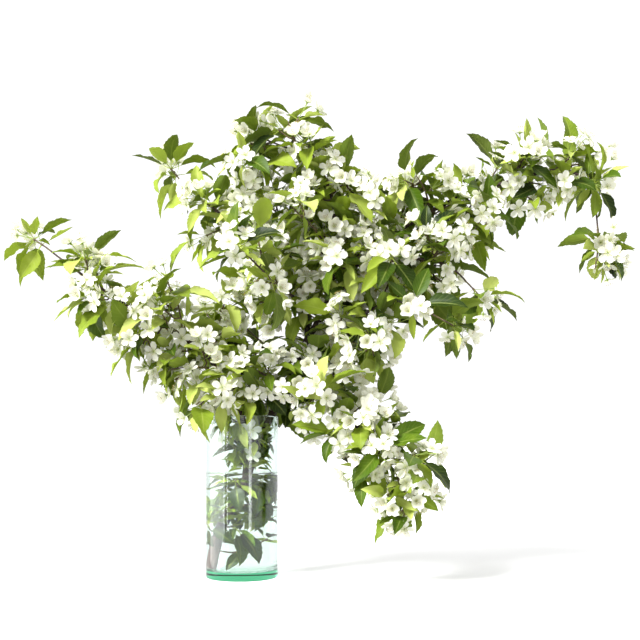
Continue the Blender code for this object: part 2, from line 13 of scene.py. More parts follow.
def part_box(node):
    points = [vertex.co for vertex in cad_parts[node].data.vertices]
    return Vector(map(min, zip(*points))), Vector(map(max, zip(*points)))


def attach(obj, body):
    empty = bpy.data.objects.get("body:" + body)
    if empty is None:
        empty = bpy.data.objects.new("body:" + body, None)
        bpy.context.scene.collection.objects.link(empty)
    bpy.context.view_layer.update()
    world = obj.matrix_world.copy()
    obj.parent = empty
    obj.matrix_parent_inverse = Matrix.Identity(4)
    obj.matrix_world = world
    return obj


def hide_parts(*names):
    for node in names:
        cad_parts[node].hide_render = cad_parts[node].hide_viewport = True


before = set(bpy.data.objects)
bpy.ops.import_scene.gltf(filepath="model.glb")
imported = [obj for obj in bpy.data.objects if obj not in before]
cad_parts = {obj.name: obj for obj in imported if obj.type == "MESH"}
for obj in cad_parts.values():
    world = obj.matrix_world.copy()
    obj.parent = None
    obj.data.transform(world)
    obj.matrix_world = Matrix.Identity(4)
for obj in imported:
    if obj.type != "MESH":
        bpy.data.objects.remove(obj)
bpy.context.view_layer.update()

# The camera stands level, a little above the glass's middle. The picture's scale comes from the
# glass, which is 120 mm across and 72 px wide, and the horizon's height gives the lens its shift.
PICTURE = 640
GLASS_PIXELS = 72
HORIZON_PIXEL = 437
EYE = Vector((0.130, -1.667, 0.2333))
SENSOR = 36.0

glass_low, glass_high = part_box("glass_cylinder")
camera_data = bpy.data.cameras.new("camera")
camera_data.sensor_width = SENSOR
camera_data.lens = SENSOR * -EYE.y * GLASS_PIXELS / (PICTURE * (glass_high.x - glass_low.x))
camera_data.shift_y = (HORIZON_PIXEL - PICTURE / 2) / PICTURE
camera = bpy.data.objects.new("camera", camera_data)
camera.location = EYE
camera.rotation_euler = (math.pi / 2, 0, 0)
bpy.context.scene.collection.objects.link(camera)
bpy.context.scene.camera = camera


# The glass: a straight drawn cylinder with a thick, faintly green foot and a fire-polished rim.
# One turned body, open at the top, its bore rounded into the floor.
WALL = 0.0042
FOOT = 0.013
FOOT_ROUND = 0.0025
FLOOR_ROUND = 0.005
RIM_ROUND = 0.0019
TURNS = 128
HOLD = 0.0004
SHARP = math.radians(35)
RIM_TURN = 80


class Wire:
    """An output in a node tree. Sums on wires add Math nodes, and add() sets any other node."""

    def __init__(self, tree, socket=None):
        self.tree, self.socket = tree, socket

    def add(self, kind, settings=None, values=None, out=0):
        node = self.tree.nodes.new(kind)
        for name, value in (settings or {}).items():
            if name == "stops":
                for _ in value[2:]:
                    node.color_ramp.elements.new(1.0)
                for stop, (place, colour) in zip(node.color_ramp.elements, value):
                    stop.position, stop.color = place, colour
            else:
                setattr(node, name, value)
        for name, value in (values or {}).items():
            if isinstance(value, Wire):
                self.tree.links.new(value.socket, node.inputs[name])
            else:
                node.inputs[name].default_value = value
        return Wire(self.tree, node.outputs[out] if node.outputs else None)

    def math(self, operation, *values):
        return self.add("ShaderNodeMath", {"operation": operation}, dict(enumerate(values)))

    def __add__(self, other):
        return self.math("ADD", self, other)

    def __sub__(self, other):
        return self.math("SUBTRACT", self, other)

    def __rsub__(self, other):
        return self.math("SUBTRACT", other, self)

    def __mul__(self, other):
        return self.math("MULTIPLY", self, other)

    __radd__, __rmul__ = __add__, __mul__

    def within(self, low, high):
        """0 below low, 1 above high and smooth between, or the other way round where low is above high."""
        steps = {"Value": self, "From Min": low, "From Max": high, "To Min": 0.0, "To Max": 1.0}
        return self.add("ShaderNodeMapRange", {"interpolation_type": "SMOOTHSTEP"}, steps)

    def blend(self, start, end):
        """From one colour to another by this factor."""
        return self.add("ShaderNodeMix", {"data_type": "RGBA"}, {0: self, 6: start, 7: end}, 2)


def paint(red, green, blue):
    """A colour given as it shows on a screen, 0 to 255, in the numbers that nodes take."""
    shares = (red / 255, green / 255, blue / 255)
    return tuple(v / 12.92 if v < 0.04045 else ((v + 0.055) / 1.055) ** 2.4 for v in shares) + (1,)


def new_finish(name):
    """An empty material and a wire to start its nodes from."""
    material = bpy.data.materials.new(name)
    material.use_nodes = True
    material.node_tree.nodes.clear()
    return material, Wire(material.node_tree)


def close_finish(material, surface, **volume):
    """Ends a material's nodes with its surface, and with its volume where it has one."""
    surface.add("ShaderNodeOutputMaterial", {}, {"Surface": surface, **volume})
    return material


def noise_on(wire, scale, detail=2.0):
    """A noise fixed to the piece itself."""
    place = wire.add("ShaderNodeTexCoord", out=3)
    return wire.add("ShaderNodeTexNoise", {}, {"Vector": place, "Scale": scale, "Detail": detail})


def relief_of(height, strength, depth):
    """The fine unevenness of a surface, for its normal."""
    return height.add("ShaderNodeBump", {}, {"Height": height, "Strength": strength, "Distance": depth})


def glass_finish():
    """Clear polished glass: green where it is thick, and hardly wavy."""
    material, wire = new_finish("clear_glass")
    surface = wire.add("ShaderNodeBsdfPrincipled", {}, {
        "Base Color": (1, 1, 1, 1), "Roughness": noise_on(wire, 60.0) * 0.008, "IOR": 1.5,
        "Specular IOR Level": 0.13, "Transmission Weight": 1.0,
        "Normal": relief_of(noise_on(wire, 22.0), 0.04, 0.001)})
    depth = wire.add("ShaderNodeVolumeAbsorption", {}, {"Color": (0.03, 0.74, 0.48, 1), "Density": 23.0})
    return close_finish(material, surface, Volume=depth)


def arc(centre, radius, start, end, steps=6):
    """Points of a round corner in a profile, from one angle to another, in degrees."""
    turns = [math.radians(start + (end - start) * k / steps) for k in range(steps + 1)]
    return [(centre[0] + radius * math.cos(t), centre[1] + radius * math.sin(t)) for t in turns]


def held(profile):
    """The profile with a point just inside each end of its long runs, so that they shade flat."""
    points = [profile[0]]
    for (r0, h0), (r1, h1) in zip(profile, profile[1:]):
        length = math.hypot(r1 - r0, h1 - h0)
        if length > 10 * HOLD:
            share = HOLD / length
            points += [(r0 + (r1 - r0) * t, h0 + (h1 - h0) * t) for t in (share, 1 - share)]
        points.append((r1, h1))
    return points


def new_mesh(name, points, faces, sharp=None):
    """A smooth mesh. Edges stay where its faces meet more sharply than this angle."""
    mesh = bpy.data.meshes.new(name)
    mesh.from_pydata(points, [], faces)
    mesh.shade_smooth()
    if sharp:
        mesh.set_sharp_from_angle(angle=sharp)
    return mesh


def turned_mesh(name, profile, turns):
    """A mesh turned from a profile of (radius, height) that starts and ends on the axis."""
    profile = held(profile)
    points, faces = [(0, 0, profile[0][1])], []
    for radius, height in profile[1:-1]:
        points += [(radius * math.cos(t), radius * math.sin(t), height)
                   for t in (2 * math.pi * k / turns for k in range(turns))]
    points.append((0, 0, profile[-1][1]))
    rings = [[1 + i * turns + k for k in range(turns)] for i in range(len(profile) - 2)]
    for k in range(turns):
        after = (k + 1) % turns
        faces.append((0, rings[0][after], rings[0][k]))
        faces += [(low[k], low[after], high[after], high[k]) for low, high in zip(rings, rings[1:])]
        faces.append((rings[-1][k], rings[-1][after], len(points) - 1))
    return new_mesh(name, points, faces, SHARP)


def show(name, mesh, material):
    """Puts a mesh in the scene, in this material."""
    shown = bpy.data.objects.new(name, mesh)
    bpy.context.scene.collection.objects.link(shown)
    if not mesh.materials:
        mesh.materials.append(material)
    return shown


def place_piece(name, mesh, material, nodes):
    """Shows a finished mesh as a piece that stands for these nodes."""
    piece = show(name, mesh, material)
    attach(piece, "root")
    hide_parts(*nodes)
    return piece


glass_radius, glass_height = glass_high.x, glass_high.z
bore = glass_radius - WALL
rim = glass_height - RIM_ROUND
floor_corner = (bore - FLOOR_ROUND, FOOT + FLOOR_ROUND)
glass_profile = [(0, 0)]
glass_profile += arc((glass_radius - FOOT_ROUND, FOOT_ROUND), FOOT_ROUND, -90, 0)
glass_profile += arc((glass_radius - RIM_ROUND, rim), RIM_ROUND, 0, RIM_TURN)
glass_profile += arc((bore + RIM_ROUND, rim), RIM_ROUND, 180 - RIM_TURN, 180)
glass_profile += arc(floor_corner, FLOOR_ROUND, 0, -90)
glass_profile.append((0, FOOT))
glass_mesh = turned_mesh("vase_glass", glass_profile, TURNS)
vase = place_piece("vase_glass", glass_mesh, glass_finish(), ["glass_cylinder"])
vase.visible_shadow = False  # Clear glass lets the light through to what stands in it.


# The water: still and clear, filled to under two thirds. It clings to the bore, where it climbs a
# little, and reaches a hair into the glass so that no film of air shows between the two.
CLING = 0.0002
CLIMB = 0.0014
CLIMB_REACH = 0.0016
CLIMB_STEPS = (0.0, 0.0004, 0.001, 0.002, 0.0035, 0.006)


def water_finish():
    """Clear water with a barely moving surface."""
    material, wire = new_finish("clear_water")
    surface = wire.add("ShaderNodeBsdfPrincipled", {}, {
        "Base Color": (1, 1, 1, 1), "Roughness": 0.0, "IOR": 1.333, "Specular IOR Level": 0.15,
        "Transmission Weight": 1.0, "Normal": relief_of(noise_on(wire, 35.0), 0.05, 0.001)})
    return close_finish(material, surface)


water_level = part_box("water")[1].z
water_profile = [(0, FOOT - CLING)]
water_profile += arc(floor_corner, FLOOR_ROUND + CLING, -90, 0)
water_profile += [(bore + CLING - reach, water_level + CLIMB * math.exp(-reach / CLIMB_REACH))
                  for reach in CLIMB_STEPS]
water_profile.append((0, water_level))
water_mesh = turned_mesh("vase_water", water_profile, TURNS)
water = place_piece("vase_water", water_mesh, water_finish(), ["water"])
water.visible_shadow = False


# The wood: one cut branch, nearly black and finely fissured. It stands on the glass's floor, forks
# in the water, and every limb grows out of the one before it. A limb has its radii at root and tip,
# where its first twig stands, its twigs' number and greatest length, and its points in millimetres.
Limb = namedtuple("Limb", "name radii first twigs reach points")
LIMBS = (
    Limb("trunk", (0.0072, 0.0066), 0.0, 0, 0.0,
         ((-38, 10, 14.8), (-27, 6, 78), (-10, 0, 123), (7, -6, 162))),
    Limb("left", (0.0056, 0.0013), 0.20, 9, 0.038,
         ((5, -5, 155), (9, -8, 215), (3, -12, 261), (-16, -22, 297), (-52, -42, 365), (-90, -52, 392),
          (-134, -58, 418), (-182, -60, 445), (-228, -56, 477), (-274, -50, 510), (-308, -46, 536))),
    Limb("main", (0.0066, 0.0060), 0.55, 2, 0.050,
         ((5, -5, 155), (22, 1, 205), (48, 10, 268), (73, 18, 314), (93, 20, 360), (111, 16, 403))),
    Limb("up", (0.0050, 0.0013), 0.20, 6, 0.048,
         ((110, 16, 400), (106, 24, 445), (101, 34, 482), (96, 44, 512), (66, 58, 556), (21, 70, 577),
          (-13, 78, 600), (-58, 86, 635), (-97, 92, 666), (-113, 96, 683))),
    Limb("top", (0.0038, 0.0012), 0.18, 6, 0.045,
         ((131, 10, 436), (148, -2, 485), (155, -10, 530), (153, -16, 573), (148, -20, 632),
          (127, -20, 680), (90, -16, 704), (50, -10, 722))),
    Limb("right", (0.0056, 0.0013), 0.12, 11, 0.044,
         ((110, 16, 400), (138, 8, 444), (165, 2, 480), (198, 2, 529), (251, 8, 572), (315, 16, 612),
          (371, 22, 640), (455, 26, 667), (525, 22, 684), (567, 14, 672), (587, 6, 636), (593, 0, 580))),
    Limb("belly", (0.0034, 0.0012), 0.30, 4, 0.042,
         ((175, 2, 494), (215, -22, 512), (262, -42, 522), (310, -54, 518), (345, -60, 502),
          (365, -62, 482))),
    Limb("mid", (0.0036, 0.0012), 0.35, 4, 0.035,
         ((101, 18, 376), (143, -10, 382), (171, -32, 398), (198, -54, 428), (237, -72, 447),
          (283, -88, 440), (312, -96, 423))),
    Limb("low", (0.0044, 0.0013), 0.28, 5, 0.035,
         ((76, 18, 321), (97, 2, 318), (125, -16, 301), (172, -44, 267), (212, -64, 227), (233, -76, 203),
          (253, -86, 170))),
    Limb("inner", (0.0030, 0.0012), 0.50, 2, 0.040,
         ((95, 20, 365), (66, 50, 379), (29, 80, 389), (-12, 104, 400), (-45, 122, 410))),
    Limb("back", (0.0030, 0.0012), 0.45, 2, 0.040,
         ((103, 30, 470), (116, 74, 521), (148, 118, 567), (188, 160, 608), (227, 190, 634))),
    Limb("front", (0.0030, 0.0012), 0.50, 2, 0.040,
         ((106, 24, 447), (84, -14, 466), (59, -58, 479), (39, -98, 495), (22, -128, 509))),
)
BARK_SIDES = 14
BARK_STEP = 0.0035
BARK_RELIEF = 0.16


def new_tree(name, inputs):
    """A Geometry Nodes tree with a geometry in and out and these named inputs, and its inputs' wires."""
    tree = bpy.data.node_groups.new(name, "GeometryNodeTree")
    for label, kind in {"Geometry": "Geometry", **inputs}.items():
        tree.interface.new_socket(label, in_out="INPUT", socket_type="NodeSocket" + kind)
    tree.interface.new_socket("Geometry", in_out="OUTPUT", socket_type="NodeSocketGeometry")
    start = tree.nodes.new("NodeGroupInput")
    return tree, {socket.name: Wire(tree, socket) for socket in start.outputs if socket.name}


def close_tree(wire, material):
    """Ends a tree: real meshes in place of instances, and their material."""
    real = wire.add("GeometryNodeRealizeInstances", {}, {"Geometry": wire})
    dressed = wire.add("GeometryNodeSetMaterial", {}, {"Geometry": real, "Material": material})
    wire.add("NodeGroupOutput", {}, {"Geometry": dressed})


def mesh_through(tree, mesh, values):
    """The plain mesh that a tree makes of this one, with these values for its named inputs."""
    carrier = bpy.data.objects.new(mesh.name, mesh)
    bpy.context.scene.collection.objects.link(carrier)
    modifier = carrier.modifiers.new("grow", "NODES")
    modifier.node_group = tree
    for item in tree.interface.items_tree:
        if item.name in values:
            modifier[item.identifier] = values[item.name]
    grown = bpy.data.meshes.new_from_object(carrier.evaluated_get(bpy.context.evaluated_depsgraph_get()))
    carrier.modifiers.clear()
    bpy.data.objects.remove(carrier)
    grown.name = mesh.name
    return grown


def named_value(wire, name, kind="FLOAT"):
    """What a mesh's points carry under this name."""
    return wire.add("GeometryNodeInputNamedAttribute", {"data_type": kind}, {"Name": name})


def stem_tree():
    """Round stems along the edges of a mesh, as thick as its points say, with a relief in their skin."""
    tree, given = new_tree("stems", {
        "Sides": "Int", "Step": "Float", "Relief": "Float", "Material": "Material"})
    wire = given["Geometry"]
    radius = named_value(wire, "thickness")
    lines = wire.add("GeometryNodeMeshToCurve", {}, {"Mesh": wire})
    smooth = wire.add("GeometryNodeCurveSplineType", {"spline_type": "CATMULL_ROM"}, {"Curve": lines})
    fine = wire.add("GeometryNodeSetSplineResolution", {}, {"Geometry": smooth, "Resolution": 16})
    even = wire.add("GeometryNodeResampleCurve", {"mode": "LENGTH"}, {"Curve": fine, "Length": given["Step"]})
    run = wire.add("GeometryNodeStoreNamedAttribute", {"data_type": "FLOAT", "domain": "POINT"}, {
        "Geometry": even, "Name": "run", "Value": wire.add("GeometryNodeSplineParameter", out=1)})
    thick = wire.add("GeometryNodeSetCurveRadius", {}, {"Curve": run, "Radius": radius})
    hoop = wire.add("GeometryNodeCurvePrimitiveCircle", {}, {"Resolution": given["Sides"], "Radius": 1.0})
    skin = wire.add("GeometryNodeCurveToMesh", {}, {
        "Curve": thick, "Profile Curve": hoop, "Fill Caps": True, "Scale": radius})
    rough = wire.add("ShaderNodeTexNoise", {}, {"Scale": 180.0, "Detail": 3.0})
    height = (rough - 0.5) * given["Relief"] * radius * 2.0
    away = wire.add("ShaderNodeVectorMath", {"operation": "SCALE"}, {
        0: wire.add("GeometryNodeInputNormal"), "Scale": height})
    barked = wire.add("GeometryNodeSetPosition", {}, {"Geometry": skin, "Offset": away})
    close_tree(barked, given["Material"])
    return tree


def stem_mesh(name, runs, sides, step, relief, material):
    """One mesh of round stems, each along its own points, which are (place, radius)."""
    points, edges = [], []
    for run in runs:
        edges += [(len(points) + i, len(points) + i + 1) for i in range(len(run) - 1)]
        points += run
    mesh = bpy.data.meshes.new(name)
    mesh.from_pydata([place for place, _ in points], edges, [])
    thickness = mesh.attributes.new("thickness", "FLOAT", "POINT")
    thickness.data.foreach_set("value", [radius for _, radius in points])
    made = mesh_through(STEMS, mesh, {"Sides": sides, "Step": step, "Relief": relief, "Material": material})
    made.shade_smooth()
    return made


def bark_finish():
    """Dark crab apple bark: purple-brown, with pale pores across it and fine cracks along it."""
    material, wire = new_finish("bark")
    patches, grain = noise_on(wire, 45.0, 5.0), noise_on(wire, 420.0, 4.0)
    pores = noise_on(wire, 260.0).within(0.66, 0.72)
    colour = patches.within(0.30, 0.70).blend(paint(38, 28, 27), paint(82, 64, 58))
    colour = (grain.within(0.45, 0.75) * 0.35).blend(colour, paint(110, 90, 78))
    colour = (pores * 0.5).blend(colour, paint(150, 132, 112))
    surface = wire.add("ShaderNodeBsdfPrincipled", {}, {
        "Base Color": colour, "Roughness": 0.62 + grain * 0.3, "Specular IOR Level": 0.35,
        "Normal": relief_of(grain + patches * 0.6 + pores * 0.3, 0.6, 0.0008)})
    return close_finish(material, surface)


def limb_run(limb):
    """A limb's points, each with its radius, as the wood tapers from its root."""
    thick, thin = limb.radii
    last = len(limb.points) - 1
    return [(Vector([v / 1000 for v in point]), thick + (thin - thick) * (i / last))
            for i, point in enumerate(limb.points)]


STEMS = stem_tree()
bark = bark_finish()
wood_mesh = stem_mesh("wood", [limb_run(limb) for limb in LIMBS], BARK_SIDES, BARK_STEP, BARK_RELIEF, bark)
place_piece("wood", wood_mesh, bark, ["branch_wood"])


# How the branch grew: short twigs stand along the limbs and end in spurs, small knobs that carry
# leaves and blossoms. This is the rule by which the solids were made, and it places them alike.
# Where a leaf or blossom would cross another it is drawn again, smaller or another way, or left out.
GAP = 0.0003
CLEARANCE = 0.001
LEAF_LENGTHS = (0.044, 0.068)
PETIOLE = 0.26
BLADE_THICKNESS = 0.0012
BLOOM_RADII = (0.0145, 0.0175)
STALK_LENGTHS = (0.022, 0.036)
STALK_RADIUS = 0.0007
THROAT_DEPTH = 0.0032
TWIG_RADIUS = 0.0016
TWIG_TAPER = (1.15, 1.0, 0.8)
SPUR_RADIUS = 0.0023
LONG_TWIG = 0.022
SHORTEST = 0.024
THIN_TIP = 0.002
END_TWIG = 0.026
WOOD_SIDES = 6
PLAIN_SIDES = 36
TRIES = 24
CUT_BACK = 0.02
LEAST_OUTWARD = 0.5
LOOSE, LOOSER = 0.15, 0.05
LEAF_AHEAD, LEAF_SAG, LEAF_SHRINK = 0.30, Vector((0, 0, -0.10)), 0.97
BLOOM_AHEAD, BLOOM_LIFT, BLOOM_FRONT = 0.35, Vector((0, 0, 0.12)), Vector((0, -0.20, 0.10))
TWIG_STRAIGHT, TWIG_OUT, LEAST_STRAIGHT = 0.3, 0.25, 0.003
FRONT_FACETS, BACK_FACETS = 0.2, -0.5
CELL = 0.07
WHOLE_TURN, NEXT_TURN = 6.3, 2.4
PLACES_ROUND, OUTSIDE = 9, 0.03
TWIG_AHEAD, TWIG_SWAY = 1.1, 0.3
SHORTER_BY, LENGTH_SPREAD = 0.6, (0.85, 1.15)
UP = Vector((0, 0, 1))
RISING = Vector((0, 0, 0.15))
COUNTS = (5, 5)
HANGING_COUNTS = (8, 1)
HANGING_FROM = ("right", 9)
GLASS_SIZE = 0.7

Inside = namedtuple("Inside", "limb share way length leaves blooms wet")
INSIDE = (
    Inside("trunk", 0.20, (0.90, -0.25, 0.42), 0.052, 3, 0, True),
    Inside("trunk", 0.72, (0.55, -0.75, 0.10), 0.016, 2, 0, True),
    Inside("left", 0.10, (-0.85, -0.30, 0.45), 0.014, 3, 1, False),
    Inside("main", 0.22, (0.35, -0.85, 0.30), 0.012, 4, 0, False),
)

# Leaf forms: bend down, fold, width against length, sideways bend, and the blade's stations (share
# of its length, share of its half-width, wave). Blossom forms: angle of the petals from the axis.
FULL_BLADE = ((0.34, 1.0, 0.06), (0.72, 0.70, -0.06))
YOUNG_BLADE = ((0.45, 1.0, 0.0),)
LeafForm = namedtuple("LeafForm", "bend fold width sway blade")
LEAF_FORMS = (
    LeafForm(25, 14, 0.52, 6, FULL_BLADE),
    LeafForm(50, 20, 0.48, -8, FULL_BLADE),
    LeafForm(75, 14, 0.54, 10, FULL_BLADE),
    LeafForm(35, 32, 0.46, -12, FULL_BLADE),
    LeafForm(90, 24, 0.42, 8, FULL_BLADE),
    LeafForm(60, 8, 0.60, -5, FULL_BLADE),
    LeafForm(-12, 26, 0.44, 6, YOUNG_BLADE),
    LeafForm(20, 38, 0.34, 4, YOUNG_BLADE),
)
RIB_STEPS = 8
BENDS_FROM = 0.25
YOUNG_SIZE = 0.72
LEAF_MIX = (0, 1, 1, 2, 3, 3, 4, 5, 6, 6, 7, 7)
BLOOM_FORMS = (84, 72, 48, 98)
BLOOM_MIX = (0, 0, 1, 1, 2, 3)
CLOSED_FORM = 2
NOTCH = 0.50

Leaf = namedtuple("Leaf", "form length matrix root")
Bloom = namedtuple("Bloom", "form radius matrix root")
Spray = namedtuple("Spray", "name limb anchor twigs spurs size room own taken leaves blooms")


def along(path, share):
    """The point and the direction at this share of a path's length."""
    lengths = [(b - a).length for a, b in zip(path, path[1:])]
    left = share * sum(lengths)
    for a, b, length in zip(path, path[1:], lengths):
        if left <= length:
            return a.lerp(b, left / length), (b - a).normalized()
        left -= length
    return path[-1], (path[-1] - path[-2]).normalized()


def square_to(direction, hint):
    """The hint with its part along the direction taken out, of length 1."""
    rest = hint - hint.dot(direction) * direction
    return rest.normalized() if rest.length > 1e-4 else direction.orthogonal().normalized()


def placing(origin, x_way, z_hint):
    """A placing matrix with its X along x_way and its Z as near z_hint as it can be."""
    z_way = square_to(x_way, z_hint)
    matrix = Matrix((x_way, z_way.cross(x_way), z_way)).transposed().to_4x4()
    matrix.translation = origin
    return matrix


def ring(centre, ahead, hint, radius, sides):
    """Points round a centre, square to the direction ahead, turning right-handed about it."""
    across = square_to(ahead, hint)
    side = ahead.cross(across)
    turns = [2 * math.pi * k / sides for k in range(sides)]
    return [centre + radius * (math.cos(t) * across + math.sin(t) * side) for t in turns]


def band(lower, upper):
    """Triangles between two rings of point numbers that start alike, the rings of any two sizes."""
    faces, i, j = [], 0, 0
    while i < len(lower) or j < len(upper):
        a, b = lower[i % len(lower)], upper[j % len(upper)]
        if (i + 0.5) / len(lower) < (j + 0.5) / len(upper):
            i += 1
            faces.append((a, lower[i % len(lower)], b))
        else:
            j += 1
            faces.append((a, upper[j % len(upper)], b))
    return faces


def sleeve(count, sides, first=0):
    """Faces of a closed tube over this many rings of points: its sides, and an end at both."""
    rings = [list(range(first + i * sides, first + (i + 1) * sides)) for i in range(count)]
    faces = []
    for low, high in zip(rings, rings[1:]):
        faces += [(a, b, d, c) for a, b, c, d in zip(low, low[1:] + low[:1], high, high[1:] + high[:1])]
    return faces + [tuple(reversed(rings[0])), tuple(rings[-1])]


def tube(path, radii, sides):
    """A closed tube of flat facets along a path, with a radius for each of its points."""
    points, hint = [], (path[1] - path[0]).orthogonal()
    for i, centre in enumerate(path):
        ahead = (path[min(i + 1, len(path) - 1)] - path[max(i - 1, 0)]).normalized()
        hint = square_to(ahead, hint)
        points += ring(centre, ahead, hint, radii[i], sides)
    return points, sleeve(len(path), sides)


def icosahedron():
    """Points and outward triangles of a regular icosahedron of radius 1."""
    golden = (1 + 5 ** 0.5) / 2
    points = []
    for a, b in itertools.product((-1, 1), (-golden, golden)):
        points += [Vector((0, a, b)), Vector((a, b, 0)), Vector((b, 0, a))]
    faces = []
    for i, j, k in itertools.combinations(range(12), 3):
        sides = (points[i] - points[j], points[j] - points[k], points[k] - points[i])
        if max(side.length for side in sides) < 2.1:
            outward_face = sides[0].cross(sides[1]).dot(points[i]) > 0
            faces.append((i, j, k) if outward_face else (i, k, j))
    return [p.normalized() for p in points], faces


KNOB = icosahedron()


def face_middle(points, face):
    return sum((points[i] for i in face), Vector()) / len(face)


def spur_solid(centre, axis, spin):
    """A spur: a twenty-faced knob whose first face looks back along the axis, towards its twig."""
    points, faces = KNOB
    back = face_middle(points, faces[0]).normalized()
    turn = Matrix.Rotation(spin, 3, axis) @ back.rotation_difference(-axis).to_matrix()
    return [centre + SPUR_RADIUS * (turn @ p) for p in points], faces


def rib_point(form, length, share):
    """Place and heading of a leaf's rib, in the leaf's own frame, at a share of its whole length."""
    whole = length * (1 + PETIOLE)
    bend, sway = math.radians(form.bend), math.radians(form.sway)

    def heading(t):
        down, aside = bend * t * (t - BENDS_FROM), sway * t
        return Vector((math.cos(down) * math.cos(aside), math.sin(aside), -math.sin(down))).normalized()

    place = Vector((0, 0, 0))
    for k in range(RIB_STEPS):
        place += heading(share * (k + 0.5) / RIB_STEPS) * whole * share / RIB_STEPS
    return place, heading(share)


def leaf_rings(leaf):
    """A leaf's stalk end, its blade's cross-sections (top, right, bottom, left), and its tip, all placed."""
    form, start = LEAF_FORMS[leaf.form], PETIOLE / (1 + PETIOLE)
    wide, thick = form.width * leaf.length / 2, BLADE_THICKNESS / 2
    place, heading = rib_point(form, leaf.length, start)
    rings = [ring(place, heading, UP, STALK_RADIUS, 3)]
    for along_blade, width, wave in form.blade:
        place, heading = rib_point(form, leaf.length, start + (1 - start) * along_blade)
        up = square_to(heading, UP)
        side = up.cross(heading)
        rise, lean = width * wide * math.sin(math.radians(form.fold)), wave * width * wide
        reach = width * wide * math.cos(math.radians(form.fold))
        rings.append([place + thick * up, place - reach * side + (rise - lean) * up,
                      place - thick * up, place + reach * side + (rise + lean) * up])
    tip = rib_point(form, leaf.length, 1.0)[0]
    return [[leaf.matrix @ p for p in r] for r in rings], leaf.matrix @ tip


def leaf_item(leaf):
    """What grows from a leaf's root ring: points after the ring's three, and faces over all of them."""
    rings, tip = leaf_rings(leaf)
    points = [p for r in rings for p in r] + [tip]
    faces = band((0, 1, 2), (3, 4, 5)) + band((3, 4, 5), (6, 7, 8, 9))
    for i in range(len(rings) - 2):
        t, r, b, l = range(6 + 4 * i, 10 + 4 * i)
        t2, r2, b2, l2 = range(10 + 4 * i, 14 + 4 * i)
        faces += [(t, r, r2), (t, r2, t2), (r, b, r2), (b, b2, r2)]
        faces += [(b, l, l2), (b, l2, b2), (l, t, l2), (t, t2, l2)]
    last = list(range(len(points) - 2, len(points) + 2))
    return points, faces + [(a, b, len(points) + 2) for a, b in zip(last, last[1:] + last[:1])]


def bloom_item(bloom):
    """A stalk and an open blossom of five petals that run together at its throat, from a root ring."""
    spread, size = math.radians(BLOOM_FORMS[bloom.form]), bloom.radius
    points = ring(Vector((0, 0, -THROAT_DEPTH)), UP, Vector((1, 0, 0)), 0.0012, 3)
    shares = (1.0,) if bloom.form == CLOSED_FORM else (1.0, NOTCH)
    count = 5 * len(shares)
    for k in range(count):
        share, turn = shares[k % len(shares)], 2 * math.pi * k / count
        flat, height = size * share * math.sin(spread), size * share * share * math.cos(spread)
        points.append(Vector((flat * math.cos(turn), flat * math.sin(turn), height)))
    points.append(Vector((0, 0, 0.0002)))
    petals = list(range(6, 6 + count))
    faces = band((0, 1, 2), (3, 4, 5)) + band((3, 4, 5), petals)
    faces += [(a, b, 6 + count) for a, b in zip(petals, petals[1:] + petals[:1])]
    return [bloom.matrix @ p for p in points], faces


def least_twist(lower, upper):
    """How many places later the lower ring of three starts, so that the facets between don't cross."""
    low, high = face_middle(lower, range(3)), face_middle(upper, range(3))
    ahead = (high - low).normalized()
    outs = [square_to(ahead, p - high) for p in upper]
    ins = [square_to(ahead, p - low) for p in lower]

    def agreement(k):
        return sum(ins[(i + k) % 3].dot(outs[i] + outs[(i + 1) % 3]) for i in range(3))

    return max(range(3), key=agreement)


def closed(root, item, back=0.0):
    """An item closed off at its root ring, or with this share of its stalk cut back."""
    k = least_twist(root, item[0][:3])
    root = [a.lerp(b, back) for a, b in zip(root[k:] + root[:k], item[0])]
    return root + item[0], item[1] + [(2, 1, 0)]


class Room:
    """What already stands where: search trees of solids, kept by cells of space."""

    def __init__(self, always=()):
        self.cells = {}
        self.always = list(always)

    def near(self, solid):
        spans = []
        for axis in range(3):
            reach = [p[axis] for p in solid[0]]
            spans.append(range(math.floor(min(reach) / CELL), math.floor(max(reach) / CELL) + 1))
        return itertools.product(*spans)

    def add(self, solid, owner):
        tree = BVHTree.FromPolygons(*solid)
        for cell in self.near(solid):
            self.cells.setdefault(cell, []).append((tree, owner))

    def clear(self, solid, owner=None):
        """Whether the solid crosses nothing here, apart from what the owner holds."""
        tree = BVHTree.FromPolygons(*solid)
        met = {id(other): other for cell in self.near(solid) for other, whose in self.cells.get(cell, ())
               if whose != owner}
        return not any(tree.overlap(other) for other in self.always + list(met.values()))


def turned_solid(profile):
    """A solid of revolution from a profile of (radius, height), whose first and last points are flat ends."""
    points = []
    for radius, height in profile:
        points += ring(Vector((0, 0, height)), UP, Vector((1, 0, 0)), radius, PLAIN_SIDES)
    return points, sleeve(len(profile), PLAIN_SIDES)


def plain_glass(grow):
    """The plain cylinder that the solids were kept clear of, thickened on every side."""
    outer, inner, top, floor = glass_radius + grow, bore - grow, glass_height + grow, FOOT + grow
    foot_bevel, rim_bevel, floor_bevel = 0.0025, 0.0012, 0.003
    return turned_solid(((outer - foot_bevel, -grow), (outer, foot_bevel - grow), (outer, top - rim_bevel),
                         (outer - rim_bevel, top), (inner + rim_bevel, top), (inner, top - rim_bevel),
                         (inner, floor + floor_bevel), (inner - floor_bevel, floor)))


def plain_water(radius, low, high):
    """The plain body of water that the solids were kept clear of."""
    floor_bevel = 0.003
    return turned_solid(((radius - floor_bevel, low), (radius, low + floor_bevel), (radius, high)))


def side_way(ahead, turn):
    """A direction square to the one ahead, at this turn round it."""
    across = square_to(ahead, UP)
    return math.cos(turn) * across + math.sin(turn) * ahead.cross(across)


def loose(draw, amount):
    return amount * Vector([draw.uniform(-1, 1) for _ in range(3)])


